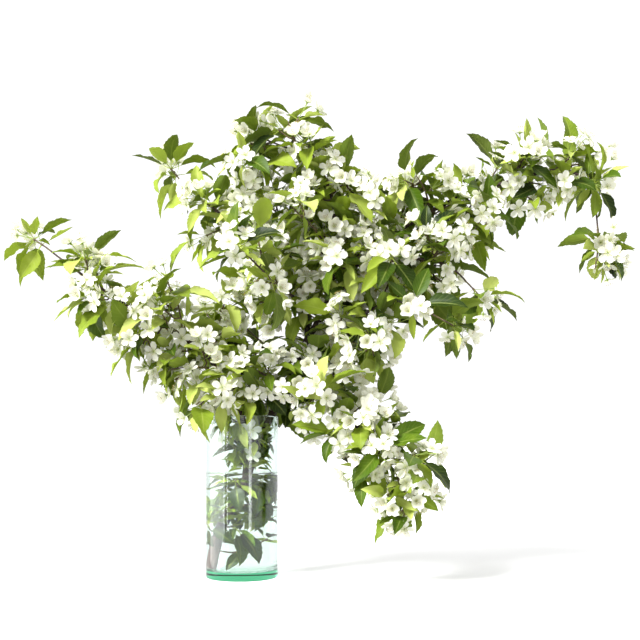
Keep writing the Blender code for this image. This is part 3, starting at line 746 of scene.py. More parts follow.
def outward(facing, bias, draw, effort):
    """The way in which an item leaves a facet: near the facet's own, more loosely with each further try."""
    way = (facing + bias + loose(draw, LOOSE + LOOSER * effort)).normalized()
    return way if way.dot(facing) > LEAST_OUTWARD else (way + 2 * facing).normalized()


def leaf_trial(draw, root, facing, axis, size, effort):
    """A leaf from a spur's facet. Later tries are smaller."""
    way = outward(facing, LEAF_AHEAD * axis + LEAF_SAG, draw, effort)
    upper = UP + 0.6 * axis + loose(draw, 0.5)
    form = draw.choice(LEAF_MIX)
    young = YOUNG_SIZE if len(LEAF_FORMS[form].blade) == 1 else 1.0
    length = draw.uniform(*LEAF_LENGTHS) * size * young * LEAF_SHRINK ** effort
    return Leaf(form, length, placing(root, way, upper), root)


def bloom_trial(draw, root, facing, axis, effort):
    """A blossom on its stalk, its own axis turned somewhat from the stalk's."""
    way = outward(facing, BLOOM_AHEAD * axis + BLOOM_LIFT, draw, effort)
    front = (way + BLOOM_FRONT + loose(draw, 0.50)).normalized()
    place = placing(root + way * draw.uniform(*STALK_LENGTHS), front.orthogonal().normalized(), front)
    return Bloom(draw.choice(BLOOM_MIX), draw.uniform(*BLOOM_RADII), place, root)


def twig_path(foot, out, way, length):
    """A twig that leaves the wood square to it and bends towards its way."""
    straight = max(TWIG_STRAIGHT * length, LEAST_STRAIGHT)
    return [foot, foot + straight * out, foot + length * (way + TWIG_OUT * out)]


def in_two(path):
    """A twig's path as two, one on from the other, for a twig with a spur on its way."""
    half = path[1].lerp(path[2], 0.35)
    return [[path[0], path[1], half], [half, half.lerp(path[2], 0.5), path[2]]]


def twig_solid(path):
    return tube(path, [TWIG_RADIUS * share for share in TWIG_TAPER], 3)


def opposite(spur, axis):
    """The spur's face that looks ahead along its axis, where a longer twig goes on."""
    middle = face_middle(spur[0], range(12))
    return max(spur[1], key=lambda f: (face_middle(spur[0], f) - middle).dot(axis))


def spur_faces(axis, spur, draw, goes_on):
    """A spur's facets for blossoms, those nearest its axis first, and for leaves, all round it."""
    points, faces = spur
    middle = face_middle(points, range(len(points)))
    lean = {f: (face_middle(points, f) - middle).normalized().dot(axis) for f in faces[1:]}
    if goes_on:
        del lean[opposite(spur, axis)]
    front = [f for f in lean if lean[f] > FRONT_FACETS]
    ahead = sorted(front, key=lambda f: -lean[f] + draw.uniform(0, 0.5))
    around = sorted((f for f in lean if lean[f] > BACK_FACETS),
                    key=lambda f: draw.uniform(0, 1) + 0.2 * lean[f])
    return ahead, around


def fitting_item(kind, seed, root, heart, axis, size, fits):
    """The first leaf or blossom, of those drawn for this facet, that fits where it stands."""
    middle = face_middle(root, range(3))
    facing = (middle - heart).normalized()
    for effort in range(TRIES):
        draw = random.Random(f"{seed} {effort}")
        if kind == "leaf":
            trial = leaf_trial(draw, middle, facing, axis, size, effort)
            item = leaf_item(trial)
        else:
            trial = bloom_trial(draw, middle, facing, axis, effort)
            item = bloom_item(trial)
        if fits(closed(root, item, back=CUT_BACK), closed(root, item)):
            return trial
    return None


def bare_spray(name, limb, anchor, twigs, size, room):
    """Twigs with their spurs, and nothing on them yet."""
    own, spurs = Room(), []
    for order, path in enumerate(twigs):
        axis = (path[-1] - path[-2]).normalized()
        spurs.append(spur_solid(path[-1], axis, random.Random(f"{name} {order}").uniform(0, WHOLE_TURN)))
        start = path[0] if order == 0 else path[0].lerp(path[1], 0.5)
        own.add(spurs[-1], "spur")
        own.add(twig_solid([start] + path[1:]), "twig")
    return Spray(name, limb, anchor, twigs, spurs, size, room, own, set(), [], [])


def clothe(spray, counts):
    """Sets leaves and blossoms on a spray's free facets, until it has as many as these counts."""

    def fits(outer, whole):
        if not (spray.own.clear(outer) and spray.room.clear(whole, spray.name)):
            return False
        spray.own.add(outer, spray.name)
        spray.room.add(whole, spray.name)
        return True

    for order, (path, spur) in enumerate(zip(spray.twigs, spray.spurs)):
        axis = (path[-1] - path[-2]).normalized()
        goes_on = order < len(spray.twigs) - 1
        ahead, around = spur_faces(axis, spur, random.Random(f"{spray.name} {order} faces"), goes_on)
        for kind, facets, count, grown in (("bloom", ahead, counts[1], spray.blooms),
                                           ("leaf", around, counts[0], spray.leaves)):
            goal = count * (order + 1) // len(spray.twigs)
            for facet in facets:
                if len(grown) >= goal or (order, facet) in spray.taken:
                    continue
                seed, root = f"{spray.name} {order} {facet}", [spur[0][i] for i in facet]
                trial = fitting_item(kind, seed, root, path[-1], axis * (not goes_on), spray.size, fits)
                if trial:
                    spray.taken.add((order, facet))
                    grown.append(trial)


paths, wood_trees = {}, {}


def add_wood(limb):
    """Keeps a limb's path, and a search tree of its wood."""
    run = limb_run(limb)
    paths[limb.name] = [place for place, _ in run]
    wood = tube(paths[limb.name], [radius for _, radius in run], WOOD_SIDES)
    wood_trees[limb.name] = BVHTree.FromPolygons(*wood)


for limb in LIMBS:
    add_wood(limb)
thick_glass = BVHTree.FromPolygons(*plain_glass(CLEARANCE))
above = BVHTree.FromPolygons(*plain_water(bore, FOOT, water_level + CLEARANCE))
below = BVHTree.FromPolygons(*plain_water(bore - CLEARANCE, FOOT + CLEARANCE, water_level - 3 * CLEARANCE))
dry = Room(list(wood_trees.values()) + [thick_glass, above])
under = Room(list(wood_trees.values()) + [thick_glass, below])
sprays = []


def plant(name, limb, share, out, way, length, counts, size, wet=False):
    """One spray on a limb. Its twig is turned on round the limb until it stands clear."""
    centre, ahead = along(paths[limb], share)
    room = under if wet else dry
    for turn in range(PLACES_ROUND):
        spin = Matrix.Rotation(math.radians(360 / PLACES_ROUND * turn), 3, ahead)
        root_way, twig_way = spin @ out, spin @ way
        hit, facet_way = wood_trees[limb].ray_cast(centre + OUTSIDE * root_way, -root_way)[:2]
        path = twig_path(hit + GAP * facet_way, facet_way, twig_way, length)
        solids = [twig_solid(path), spur_solid(path[-1], twig_way, 0.0)]
        if all(room.clear(solid, name) for solid in solids):
            break
    else:
        return
    for solid in solids:
        room.add(solid, name)
    sprays.append(bare_spray(name, limb, centre, in_two(path) if length > LONG_TWIG else [path], size, room))
    clothe(sprays[-1], counts)


def round_limb(limb, shares, draw, sway):
    """Goes along a limb, and from one place to the next somewhat more than a third round it."""
    turn = draw.uniform(0, WHOLE_TURN)
    for k, share in enumerate(shares):
        ahead = along(paths[limb], share)[1]
        turn += NEXT_TURN + draw.uniform(-sway, sway)
        yield k, share, ahead, side_way(ahead, turn)


for k, spot in enumerate(INSIDE):
    way = Vector(spot.way).normalized()
    out = square_to(along(paths[spot.limb], spot.share)[1], way)
    plant(f"spray_glass_{k + 1}", spot.limb, spot.share, out, way, spot.length, (spot.leaves, spot.blooms),
          GLASS_SIZE, spot.wet)
for limb in LIMBS:
    draw = random.Random(limb.name)
    shares = [limb.first + (1 - limb.first) * k / (limb.twigs - 0.5) for k in range(limb.twigs)]
    for k, share, ahead, out in round_limb(limb.name, shares, draw, TWIG_SWAY):
        name = f"spray_{limb.name}_{k + 1:02d}"
        shorter = 1 - SHORTER_BY * k / limb.twigs
        length = max(SHORTEST, limb.reach * shorter * draw.uniform(*LENGTH_SPREAD))
        hanging = limb.name == HANGING_FROM[0] and k >= HANGING_FROM[1]
        counts = HANGING_COUNTS if hanging else COUNTS
        if k < limb.twigs - 1 or limb.radii[1] > THIN_TIP:
            way = (out + TWIG_AHEAD * ahead + RISING).normalized()
            plant(name, limb.name, share, out, way, length, counts, 1.0)
            continue
        tip, ahead = along(paths[limb.name], 1.0)
        path = twig_path(tip + GAP * ahead, ahead, (ahead + 0.1 * out).normalized(), END_TWIG)
        dry.add(twig_solid(path), name)
        sprays.append(bare_spray(name, limb.name, tip - 0.004 * ahead, in_two(path), 1.0, dry))
        clothe(sprays[-1], counts)


# The finer growth that the solids leave out: more leaves on the facets that are still free, more
# spurs and twigs between the first ones, thin shoots that fill the branch out, and the leafy stems
# that were pushed down into the glass.
FULLER_COUNTS = (12, 5)
FULLER_HANGING = (13, 1)
MORE_TWIGS = {"left": 14, "main": 7, "up": 11, "top": 11, "right": 14, "belly": 4, "mid": 4, "low": 6,
              "inner": 4, "back": 3, "front": 4}
MORE_UP_TO = 0.90
MORE_LENGTHS = (0.008, 0.014, 0.028, 0.042)
MORE_COUNTS, MORE_LONG_COUNTS = (4, 3), (7, 4)
MORE_SIZE, MORE_SWAY, MORE_AHEAD = 1.05, 0.5, (0.3, 1.1)
SHOOT_RADII = (0.0020, 0.0011)
SHOOTS = [Limb(name, SHOOT_RADII, first, twigs, reach, points) for name, first, twigs, reach, *points in (
    ("left_a", 0.35, 3, 0.020, (-16, -22, 297), (-45, -50, 302), (-68, -68, 285)),
    ("left_b", 0.20, 4, 0.026, (-90, -52, 392), (-100, -40, 445), (-112, -30, 475)),
    ("left_c", 0.30, 4, 0.024, (-134, -58, 418), (-142, -74, 400), (-150, -84, 380)),
    ("left_d", 0.25, 5, 0.028, (-52, -42, 365), (-42, -10, 410), (-30, 15, 450)),
    ("left_f", 0.25, 4, 0.026, (-40, -38, 345), (-80, -66, 345), (-112, -75, 340)),
    ("main_a", 0.25, 6, 0.028, (73, 18, 314), (30, -40, 340), (-5, -70, 350)),
    ("main_b", 0.25, 5, 0.030, (93, 20, 360), (130, 70, 400), (175, 100, 425)),
    ("main_c", 0.25, 5, 0.028, (60, 14, 290), (20, 50, 315), (-25, 70, 335)),
    ("main_d", 0.25, 5, 0.028, (85, 20, 340), (100, -40, 350), (110, -80, 352)),
    ("up_a", 0.20, 5, 0.030, (101, 34, 482), (60, 5, 498), (20, -10, 508)),
    ("up_b", 0.20, 5, 0.030, (66, 58, 556), (60, 30, 610), (45, 10, 650)),
    ("up_d", 0.20, 5, 0.030, (106, 24, 445), (70, -10, 450), (30, -30, 455)),
    ("up_f", 0.20, 5, 0.028, (0, 74, 590), (0, 30, 630), (-8, 0, 650)),
    ("top_a", 0.20, 5, 0.030, (155, -10, 530), (120, -50, 570), (85, -70, 600)),
    ("top_b", 0.25, 4, 0.024, (148, -20, 632), (172, -30, 648), (192, -30, 655)),
    ("top_c", 0.30, 4, 0.022, (90, -16, 704), (85, -30, 730), (78, -35, 748)),
    ("top_d", 0.25, 4, 0.024, (50, -10, 722), (22, -20, 708), (-5, -30, 690)),
    ("top_e", 0.20, 5, 0.028, (153, -16, 573), (120, 20, 602), (80, 35, 625)),
    ("top_f", 0.20, 5, 0.028, (152, -6, 500), (185, -45, 520), (205, -70, 545)),
    ("right_a", 0.20, 5, 0.028, (198, 2, 529), (212, -20, 580), (215, -30, 618)),
    ("right_b", 0.20, 5, 0.026, (315, 16, 612), (304, -10, 642), (288, -20, 664)),
    ("right_c", 0.20, 5, 0.026, (371, 22, 640), (396, -10, 608), (405, -20, 582)),
    ("right_d", 0.25, 4, 0.024, (455, 26, 667), (460, 5, 684), (470, -5, 698)),
    ("right_e", 0.25, 4, 0.024, (525, 22, 684), (565, 28, 695), (598, 30, 694)),
    ("right_f", 0.20, 6, 0.030, (251, 8, 572), (260, 0, 530), (266, 20, 490)),
    ("right_g", 0.20, 5, 0.030, (138, 8, 444), (180, 20, 452), (220, 30, 458)),
    ("right_h", 0.20, 3, 0.007, (593, 0, 580), (592, -4, 545), (586, -8, 512)),
    ("right_i", 0.20, 5, 0.030, (340, 18, 625), (350, 45, 595), (345, 62, 560)),
    ("belly_a", 0.20, 4, 0.026, (310, -54, 518), (325, -70, 542), (335, -80, 560)),
    ("belly_b", 0.20, 4, 0.026, (290, -50, 522), (315, -30, 500), (332, -10, 476)),
    ("mid_a", 0.20, 5, 0.026, (198, -54, 428), (208, -78, 392), (215, -86, 362)),
    ("mid_b", 0.20, 5, 0.028, (150, -16, 386), (180, 10, 400), (215, 20, 408)),
    ("low_a", 0.20, 5, 0.028, (125, -16, 301), (158, -20, 332), (190, -30, 350)),
    ("low_b", 0.20, 5, 0.026, (172, -44, 267), (215, -50, 272), (248, -55, 264)),
    ("low_c", 0.20, 3, 0.022, (212, -64, 227), (208, -80, 198), (206, -88, 172)),
    ("low_d", 0.20, 5, 0.024, (233, -76, 203), (265, -86, 192), (292, -92, 182)),
    ("low_e", 0.20, 4, 0.022, (253, -86, 170), (261, -92, 135), (262, -96, 106)),
    ("low_f", 0.20, 4, 0.028, (100, 0, 317), (130, -50, 305), (150, -80, 290)),
)]
SUNK = (
    ("trunk", (0.30, 0.40, 0.48, 0.55, 0.62, 0.68, 0.74, 0.80, 0.86, 0.92), (9, 0), True),
    ("left", (0.01, 0.04, 0.07, 0.10, 0.13, 0.16, 0.20, 0.24), (10, 1), False),
    ("main", (0.02, 0.06, 0.10, 0.15, 0.20, 0.25, 0.30, 0.36, 0.42), (10, 0), False),
)
SUNK_LENGTHS = (0.008, 0.014, 0.021)
SUNK_SIZE, SUNK_SWAY, SUNK_AHEAD = 1.12, 0.4, 0.6


def more_growth(limb, name, number, draw):
    """Spurs and twigs on one limb, all along and round it."""
    first = max(0.0, limb.first - 0.1)
    shares = [first + (MORE_UP_TO - first) * (k + 0.5) / number for k in range(number)]
    for k, share, ahead, out in round_limb(limb.name, shares, draw, MORE_SWAY):
        length = min(draw.choice(MORE_LENGTHS), limb.reach)
        way = (out + draw.uniform(*MORE_AHEAD) * ahead + RISING).normalized()
        counts = MORE_LONG_COUNTS if length > LONG_TWIG else MORE_COUNTS
        plant(f"{name}_{k + 1:02d}", limb.name, share, out, way, length, counts, MORE_SIZE)


for spray in sprays:
    hanging = spray.limb == HANGING_FROM[0] and int(spray.name[-2:]) > HANGING_FROM[1]
    if not spray.name.startswith("spray_glass"):
        clothe(spray, FULLER_HANGING if hanging else FULLER_COUNTS)
for shoot in SHOOTS:
    add_wood(shoot)
    dry.always.append(wood_trees[shoot.name])
for shoot in SHOOTS:
    more_growth(shoot, f"shoot_{shoot.name}", shoot.twigs, random.Random(shoot.name))
for limb in LIMBS:
    if limb.name in MORE_TWIGS:
        draw = random.Random(limb.name + " between")
        more_growth(limb, f"spur_{limb.name}", MORE_TWIGS[limb.name], draw)
for limb, shares, counts, wet in SUNK:
    draw = random.Random(limb + " sunk")
    for k, share, ahead, out in round_limb(limb, shares, draw, SUNK_SWAY):
        way, length = (out + SUNK_AHEAD * ahead).normalized(), draw.choice(SUNK_LENGTHS)
        plant(f"sunk_{limb}_{k + 1:02d}", limb, share, out, way, length, counts, SUNK_SIZE, wet)

# Which sprays are dressed together: each group of limbs has one piece of each material.
GROUPS = {
    "left": ("left",), "crown": ("up", "front"), "top": ("top", "back"), "right": ("right",),
    "belly": ("belly",), "mid": ("mid",), "low": ("low",), "heart": ("main", "inner", "trunk"),
}
group_of = {limb: group for group, limbs in GROUPS.items() for limb in limbs}
grouped = {group: [s for s in sprays if group_of[s.limb.split("_")[0]] == group] for group in GROUPS}
nodes_of = {group: [s.name for s in members if s.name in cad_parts]
            for group, members in grouped.items()}


# The side twigs: thin young wood, browner than the limbs, that starts in the heart of its limb and
# swells into a scaly, ringed spur where leaves and blossoms stand.
TWIG_SIDES = 6
TWIG_STEP = 0.0024
TWIG_RELIEF = 0.25
RING_PITCH = 2400.0
SPUR_FORM = ((-0.0024, TWIG_RADIUS * 0.85), (-0.0012, SPUR_RADIUS * 0.95), (0.0004, SPUR_RADIUS),
             (0.0018, SPUR_RADIUS * 0.6))


def mark_on(wire, name, out=2):
    """What a mesh carries under this name: a number, or with out=1 a vector."""
    return wire.add("ShaderNodeAttribute", {"attribute_name": name}, out=out)


def twig_finish():
    """Young bark: olive brown and smooth, darker in the rings of the spurs."""
    material, wire = new_finish("young_bark")
    patches = noise_on(wire, 120.0, 3.0)
    run = mark_on(wire, "run") * RING_PITCH
    rings = run.math("SINE", run).within(0.2, 1.0)
    colour = patches.within(0.35, 0.65).blend(paint(70, 52, 38), paint(104, 92, 52))
    colour = (rings * 0.35).blend(colour, paint(52, 36, 28))
    relief = relief_of(patches + rings * 0.5, 0.5, 0.0004)
    surface = wire.add("ShaderNodeBsdfPrincipled", {}, {
        "Base Color": colour, "Roughness": 0.6, "Normal": relief})
    return close_finish(material, surface)


def twig_run(spray):
    """A twig's points and radii, from the heart of its limb to its last spur."""
    run = [(spray.anchor, TWIG_RADIUS)]
    for order, path in enumerate(spray.twigs):
        ahead = (path[-1] - path[-2]).normalized()
        run += [(p, TWIG_RADIUS * 0.9) for p in path[min(order, 1):-1]]
        run += [(path[-1] + reach * ahead, radius) for reach, radius in SPUR_FORM]
        if order < len(spray.twigs) - 1:
            run.append((path[-1] + 0.003 * ahead, TWIG_RADIUS * 0.8))
    return run


young_bark = twig_finish()
twig_runs = [limb_run(shoot) for shoot in SHOOTS] + [twig_run(spray) for spray in sprays]
twig_mesh = stem_mesh("twigs", twig_runs, TWIG_SIDES, TWIG_STEP, TWIG_RELIEF, young_bark)
place_piece("twigs", twig_mesh, young_bark, [])


# The leaves: thin, pointed and finely toothed, folded along the rib, with raised veins below. Each is
# cut from one of eight forms, alike in outline, fold and bend to the solids' own blades.
ROWS = 8
COLUMNS = (-1.0, -0.52, 0.0, 0.52, 1.0)
FIRST_ROW, LAST_ROW = 0.004, 0.998
TOOTH = 0.050
TOOTH_BACK = 0.15
LEAF_THICK = 0.0075
TROUGH = 1.4
WAVES, FRILLS, FRILL_HEIGHT = 9.0, 17.0, 0.12
BLADE_SHARP = math.radians(70)
PETIOLE_THICK = 0.0150
PETIOLE_RINGS, PETIOLE_SIDES = 4, 3
ON_STALK = (-1.0, 0.0, 0)
YELLOWING = ((0.0, paint(10, 30, 2)), (0.35, paint(64, 90, 11)), (0.65, paint(144, 162, 54)),
             (1.0, paint(214, 222, 132)))


def blade_width(t):
    """A blade's half-width at a share of its length, against its greatest half-width."""
    return math.sin(math.pi * t ** 0.75) ** 0.85 * (1 - 0.25 * t ** 6) if 0 < t < 1 else 0.0


def add_spot(points, skins, row, column, spot, lift):
    """A place of a blade: a point on either skin, or one for both where nothing lifts them apart."""
    skins[0, row, column] = len(points)
    points += [spot + lift, spot - lift] if lift.length else [spot]
    skins[1, row, column] = len(points) - 1


def add_row(faces, marks, skins, row, rows, columns):
    """The faces of both skins up to the next row. Corners are marked (share ahead, across, skin)."""
    for skin in (0, 1):
        for column in range(len(columns) - 1):
            corners = [(row, column), (row + 1, column), (row + 1, column + 1), (row, column + 1)]
            if skin:
                corners = corners[:1] + corners[:0:-1]
            faces.append([skins[skin, r, c] for r, c in corners])
            marks += [(r / rows, columns[c], skin) for r, c in corners]


def blade_mesh(name, points, faces, marks):
    """A mesh of thin blades that carries the marks of its corners."""
    mesh = new_mesh(name, points, faces, BLADE_SHARP)
    blade = mesh.attributes.new("blade", "FLOAT_VECTOR", "CORNER")
    blade.data.foreach_set("vector", [v for mark in marks for v in mark])
    return mesh


def leaf_mesh(order, form):
    """One leaf of length 1, its petiole's root at the origin: a blade of two skins that share their edge."""
    draw = random.Random(f"leaf {order}")
    phase, ripple = draw.uniform(0, WHOLE_TURN), draw.uniform(0.05, 0.10)
    start = PETIOLE / (1 + PETIOLE)
    points, faces, marks, skins = [], [], [], {}
    full = max(width for _, width, _ in form.blade)
    fold = math.radians(form.fold)
    for row in range(ROWS + 1):
        t = FIRST_ROW + (LAST_ROW - FIRST_ROW) * row / ROWS
        place, heading = rib_point(form, 1.0, start + (1 - start) * t)
        up = square_to(heading, UP)
        side = up.cross(heading)
        wide = full * form.width / 2 * blade_width(t)
        for column, across in enumerate(COLUMNS):
            reach = across * wide * math.cos(fold)
            rise = wide * math.sin(fold) * (abs(across) ** TROUGH) * (1.25 - 0.25 * abs(across))
            rise += wide * ripple * across * abs(across) * math.sin(WAVES * t + phase)
            rise += FRILL_HEIGHT * wide * across ** 2 * math.sin(FRILLS * t + 2 * phase + across)
            thick = 0 if abs(across) == 1.0 else LEAF_THICK / 2 * (1 - 0.6 * abs(across))
            add_spot(points, skins, row, column, place + reach * side + rise * up, thick * up)
    for row in range(ROWS):
        add_row(faces, marks, skins, row, ROWS, COLUMNS)
        if row in (0, ROWS - 1):
            continue
        t = (row + 0.5) / ROWS
        for column, sign in ((0, -1), (len(COLUMNS) - 1, 1)):
            a, b = skins[0, row, column], skins[0, row + 1, column]
            tip = points[b] + (points[a] - points[b]) * TOOTH_BACK
            inner = (points[skins[0, row, 2]] + points[skins[0, row + 1, 2]]) / 2
            tip = tip + (tip - inner).normalized() * TOOTH * form.width * (0.35 + 0.65 * blade_width(t))
            number = len(points)
            points.append(tip)
            top = (a, number, b) if sign < 0 else (a, b, number)
            faces += [top, tuple(reversed(top))]
            ends = {a: (row / ROWS, sign), b: ((row + 1) / ROWS, sign), number: (t, sign * 1.1)}
            marks += [(*ends[i], 0) for i in top] + [(*ends[i], 1) for i in reversed(top)]
    stalk = sleeve(PETIOLE_RINGS, PETIOLE_SIDES, len(points))
    faces += stalk
    marks += [ON_STALK] * sum(len(face) for face in stalk)
    for k in range(PETIOLE_RINGS):
        place, heading = rib_point(form, 1.0, start * (k / 2.8))
        radius = PETIOLE_THICK * (1.15 if k == 0 else 1.0 - 0.16 * k)
        sunk_root = 0.012 * heading if k == 0 else Vector()
        points += ring(place - sunk_root, heading, UP, radius, PETIOLE_SIDES)
    return blade_mesh(f"leaf_{order}", points, faces, marks)


def blade_marks(wire):
    """How far ahead on its blade a place is, how far across, and whether it is underneath."""
    split = wire.add("ShaderNodeSeparateXYZ", {}, {0: mark_on(wire, "blade", 1)})
    return [Wire(wire.tree, socket) for socket in split.socket.node.outputs]


def lit_through(skin, colour, share):
    """A thin surface with this share of its light coming through, in this colour."""
    through = skin.add("ShaderNodeBsdfTranslucent", {}, {"Color": colour})
    return skin.add("ShaderNodeMixShader", {}, {0: share, 1: skin, 2: through})


def leaf_finish():
    """A leaf: veins that show pale above and stand up below, a paler underside, and light through it."""
    material, wire = new_finish("leaf")
    ahead, across, under = blade_marks(wire)
    tint = mark_on(wire, "tint")
    away = across.math("ABSOLUTE", across)
    rib = away.within(0.11, 0.02)
    wave = ahead * 8.5 - away * 2.1
    vein = wave - wave.math("FLOOR", wave) - 0.5
    vein = vein.math("ABSOLUTE", vein).within(0.10, 0.0) * away.within(1.0, 0.75)
    veins = rib.math("MAXIMUM", rib, vein * 0.6)
    patches = noise_on(wire, 55.0, 3.0)
    # The tint carries each leaf's own yellowing and random tone. It also carries painted light and shade by
    # its group and painted shade in the glass. It sets the leaf's colour and how much light comes through it.
    colour = wire.add("ShaderNodeValToRGB", {"stops": YELLOWING}, {"Fac": tint + patches * 0.24 - 0.12})
    colour = (veins * 0.26).blend(colour, paint(190, 200, 104))
    colour = (under * 0.36).blend(colour, paint(134, 152, 66))
    colour = ahead.within(-0.5, -0.9).blend(colour, paint(150, 166, 70))
    relief = relief_of(veins * (under * 1.6 - 0.8) + patches * 0.3, 0.55, 0.0006)
    skin = wire.add("ShaderNodeBsdfPrincipled", {}, {
        "Base Color": colour, "Roughness": 0.40 + under * 0.22, "Specular IOR Level": 0.13, "Normal": relief})
    return close_finish(material, lit_through(skin, paint(192, 208, 70), tint * 0.36 + 0.12))


def set_out_tree():
    """Copies of a collection's forms on the points of a mesh: which form, its turn and its size are there."""
    tree, given = new_tree("set_out", {"Forms": "Collection", "Material": "Material"})
    wire = given["Geometry"]
    forms = wire.add("GeometryNodeCollectionInfo", {}, {
        "Collection": given["Forms"], "Separate Children": True, "Reset Children": True})
    turn = wire.add("FunctionNodeEulerToRotation", {}, {"Euler": named_value(wire, "turn", "FLOAT_VECTOR")})
    copies = wire.add("GeometryNodeInstanceOnPoints", {}, {
        "Points": wire, "Instance": forms, "Pick Instance": True, "Rotation": turn,
        "Instance Index": named_value(wire, "kind", "INT"), "Scale": named_value(wire, "size")})
    close_tree(copies, given["Material"])
    return tree


def forms_collection(name, meshes):
    """The forms as objects of a collection that isn't in the scene."""
    collection = bpy.data.collections.new(name)
    for mesh in meshes:
        collection.objects.link(bpy.data.objects.new(mesh.name, mesh))
    return collection


def set_out(name, forms, spots, material):
    """One mesh of all the forms set out at these spots, which are (kind, size, matrix, tint)."""
    kinds, sizes, places, tints = zip(*spots)
    mesh = bpy.data.meshes.new(name)
    mesh.from_pydata([matrix.translation for matrix in places], [], [])
    for label, kind, values in (("kind", "INT", kinds), ("size", "FLOAT", sizes), ("tint", "FLOAT", tints)):
        mesh.attributes.new(label, kind, "POINT").data.foreach_set("value", values)
    turns = [v for matrix in places for v in matrix.to_euler()]
    mesh.attributes.new("turn", "FLOAT_VECTOR", "POINT").data.foreach_set("vector", turns)
    return mesh_through(SET_OUT, mesh, {"Forms": forms, "Material": material})


# Painted light and shade: each group's leaves are made lighter or darker to match how brightly that part of
# the branch is lit. They are lighter on the left, low, crown and top groups, a little darker on the right,
# belly and middle, and darkest in the heart of the crown, where shade falls.
GROUP_PAINTED_LIGHT = {"left": 0.30, "crown": 0.18, "top": 0.10, "right": -0.02, "belly": -0.08, "mid": -0.08,
              "low": 0.20, "heart": -0.24}
TINT_SPREAD = (-0.25, 1.05, 0.34)
YOUNG_TINT = 0.30
# Painted shade: the leaves down in the glass are made darker.
SUNK_PAINTED_SHADE = -0.16


def leaf_tint_and_painted_light(leaf, group):
    """How yellow and how light a leaf is: young ones yellower, with painted light and shade by group and in
    the glass.
    """
    draw = random.Random(f"tint {leaf.length:.6f}")
    tint = draw.triangular(*TINT_SPREAD) + (YOUNG_TINT if len(LEAF_FORMS[leaf.form].blade) == 1 else 0.0)
    # Painted shade on the leaves in the glass, then painted light and shade by group.
    tint += SUNK_PAINTED_SHADE if leaf.root.z < glass_height else 0.0
    return min(1.0, max(0.0, tint + GROUP_PAINTED_LIGHT[group]))


SET_OUT = set_out_tree()
leaf_forms = forms_collection("leaf_forms", [leaf_mesh(k, form) for k, form in enumerate(LEAF_FORMS)])
leaf_look = leaf_finish()
for group, members in grouped.items():
    name = f"leaves_{group}"
    spots = [(leaf.form, leaf.length, leaf.matrix, leaf_tint_and_painted_light(leaf, group))
             for spray in members for leaf in spray.leaves]
    place_piece(name, set_out(name, leaf_forms, spots, leaf_look), leaf_look, nodes_of[group])


# The blossoms' stalks: slender and pale green, all from one spur, each bent a little to its blossom.
STALK_SIDES = 4
STALK_STEP = 0.0065
STALK_THICK = 0.00055
KNEE_AT, KNEE_BACK, KNEE_BEND = 0.62, 0.38, -0.35


def stalk_finish():
    """Stalks, cups and sepals: pale yellow-green, downy, a little light coming through."""
    material, wire = new_finish("stalk")
    colour = noise_on(wire, 160.0).within(0.35, 0.65).blend(paint(142, 166, 66), paint(176, 194, 98))
    skin = wire.add("ShaderNodeBsdfPrincipled", {}, {
        "Base Color": colour, "Roughness": 0.5, "Sheen Weight": 0.3})
    return close_finish(material, lit_through(skin, paint(200, 220, 110), 0.3))


def stalk_run(bloom):
    """A blossom's stalk, from inside its spur to inside its cup, bent to meet the blossom squarely."""
    front = bloom.matrix.to_3x3() @ UP
    cup = bloom.matrix @ Vector((0, 0, -THROAT_DEPTH))
    straight = bloom.root.lerp(cup, KNEE_AT)
    squarely = cup - KNEE_BACK * (cup - bloom.root).length * front
    knee = straight + (straight - squarely) * KNEE_BEND
    way = (knee - bloom.root).normalized()
    return [(bloom.root - 0.0008 * way, STALK_THICK), (bloom.root.lerp(knee, 0.5), STALK_THICK * 0.9),
            (knee, STALK_THICK * 0.95), (cup, STALK_THICK * 1.5)]


# The blossoms: five white petals, each clawed and cupped, over a green cup with five sepals, and a
# loose brush of white stamens with small yellow-brown anthers.
PETAL_ROWS = 3
PETAL_COLUMNS = (-1.0, -0.45, 0.45, 1.0)
PETAL_WIDTH = 0.345
PETAL_WIDEST = 0.66
PETAL_THICK = 0.018
CLAW, BEYOND_CLAW = 0.07, 0.93
NOTCH_DEPTH, CURL, CUPPING = 0.05, 0.06, 2.2
STAMENS = 10
BLOOM_FULL = 1.06
ANTHER = 0.040
FILAMENT_FOOT, FILAMENT_LENGTHS = Vector((0.045, 0, 0.02)), (0.38, 0.50)
CUP_SIDES = 5
CUP_PROFILE = ((0.035, -0.27), (0.110, -0.16), (0.105, -0.02), (0.05, 0.04))
SEPAL_BASE, SEPAL_SIDE, SEPAL_LENGTH = Vector((0.09, 0, -0.06)), Vector((0, 0.055, 0)), 0.34
SEPAL_FACES = ((1, 2, 0), (2, 3, 0), (1, 3, 2), (3, 4, 0), (3, 1, 4), (4, 1, 0))


def petal_width(s):
    """A petal's half-width at a share of its length, against its greatest half-width."""
    if s < PETAL_WIDEST:
        return 0.10 + 0.90 * math.sin(math.pi / 2 * s / PETAL_WIDEST) ** 1.6
    return math.sqrt(max(0.0, 1 - ((s - PETAL_WIDEST) / (1.06 - PETAL_WIDEST)) ** 2))


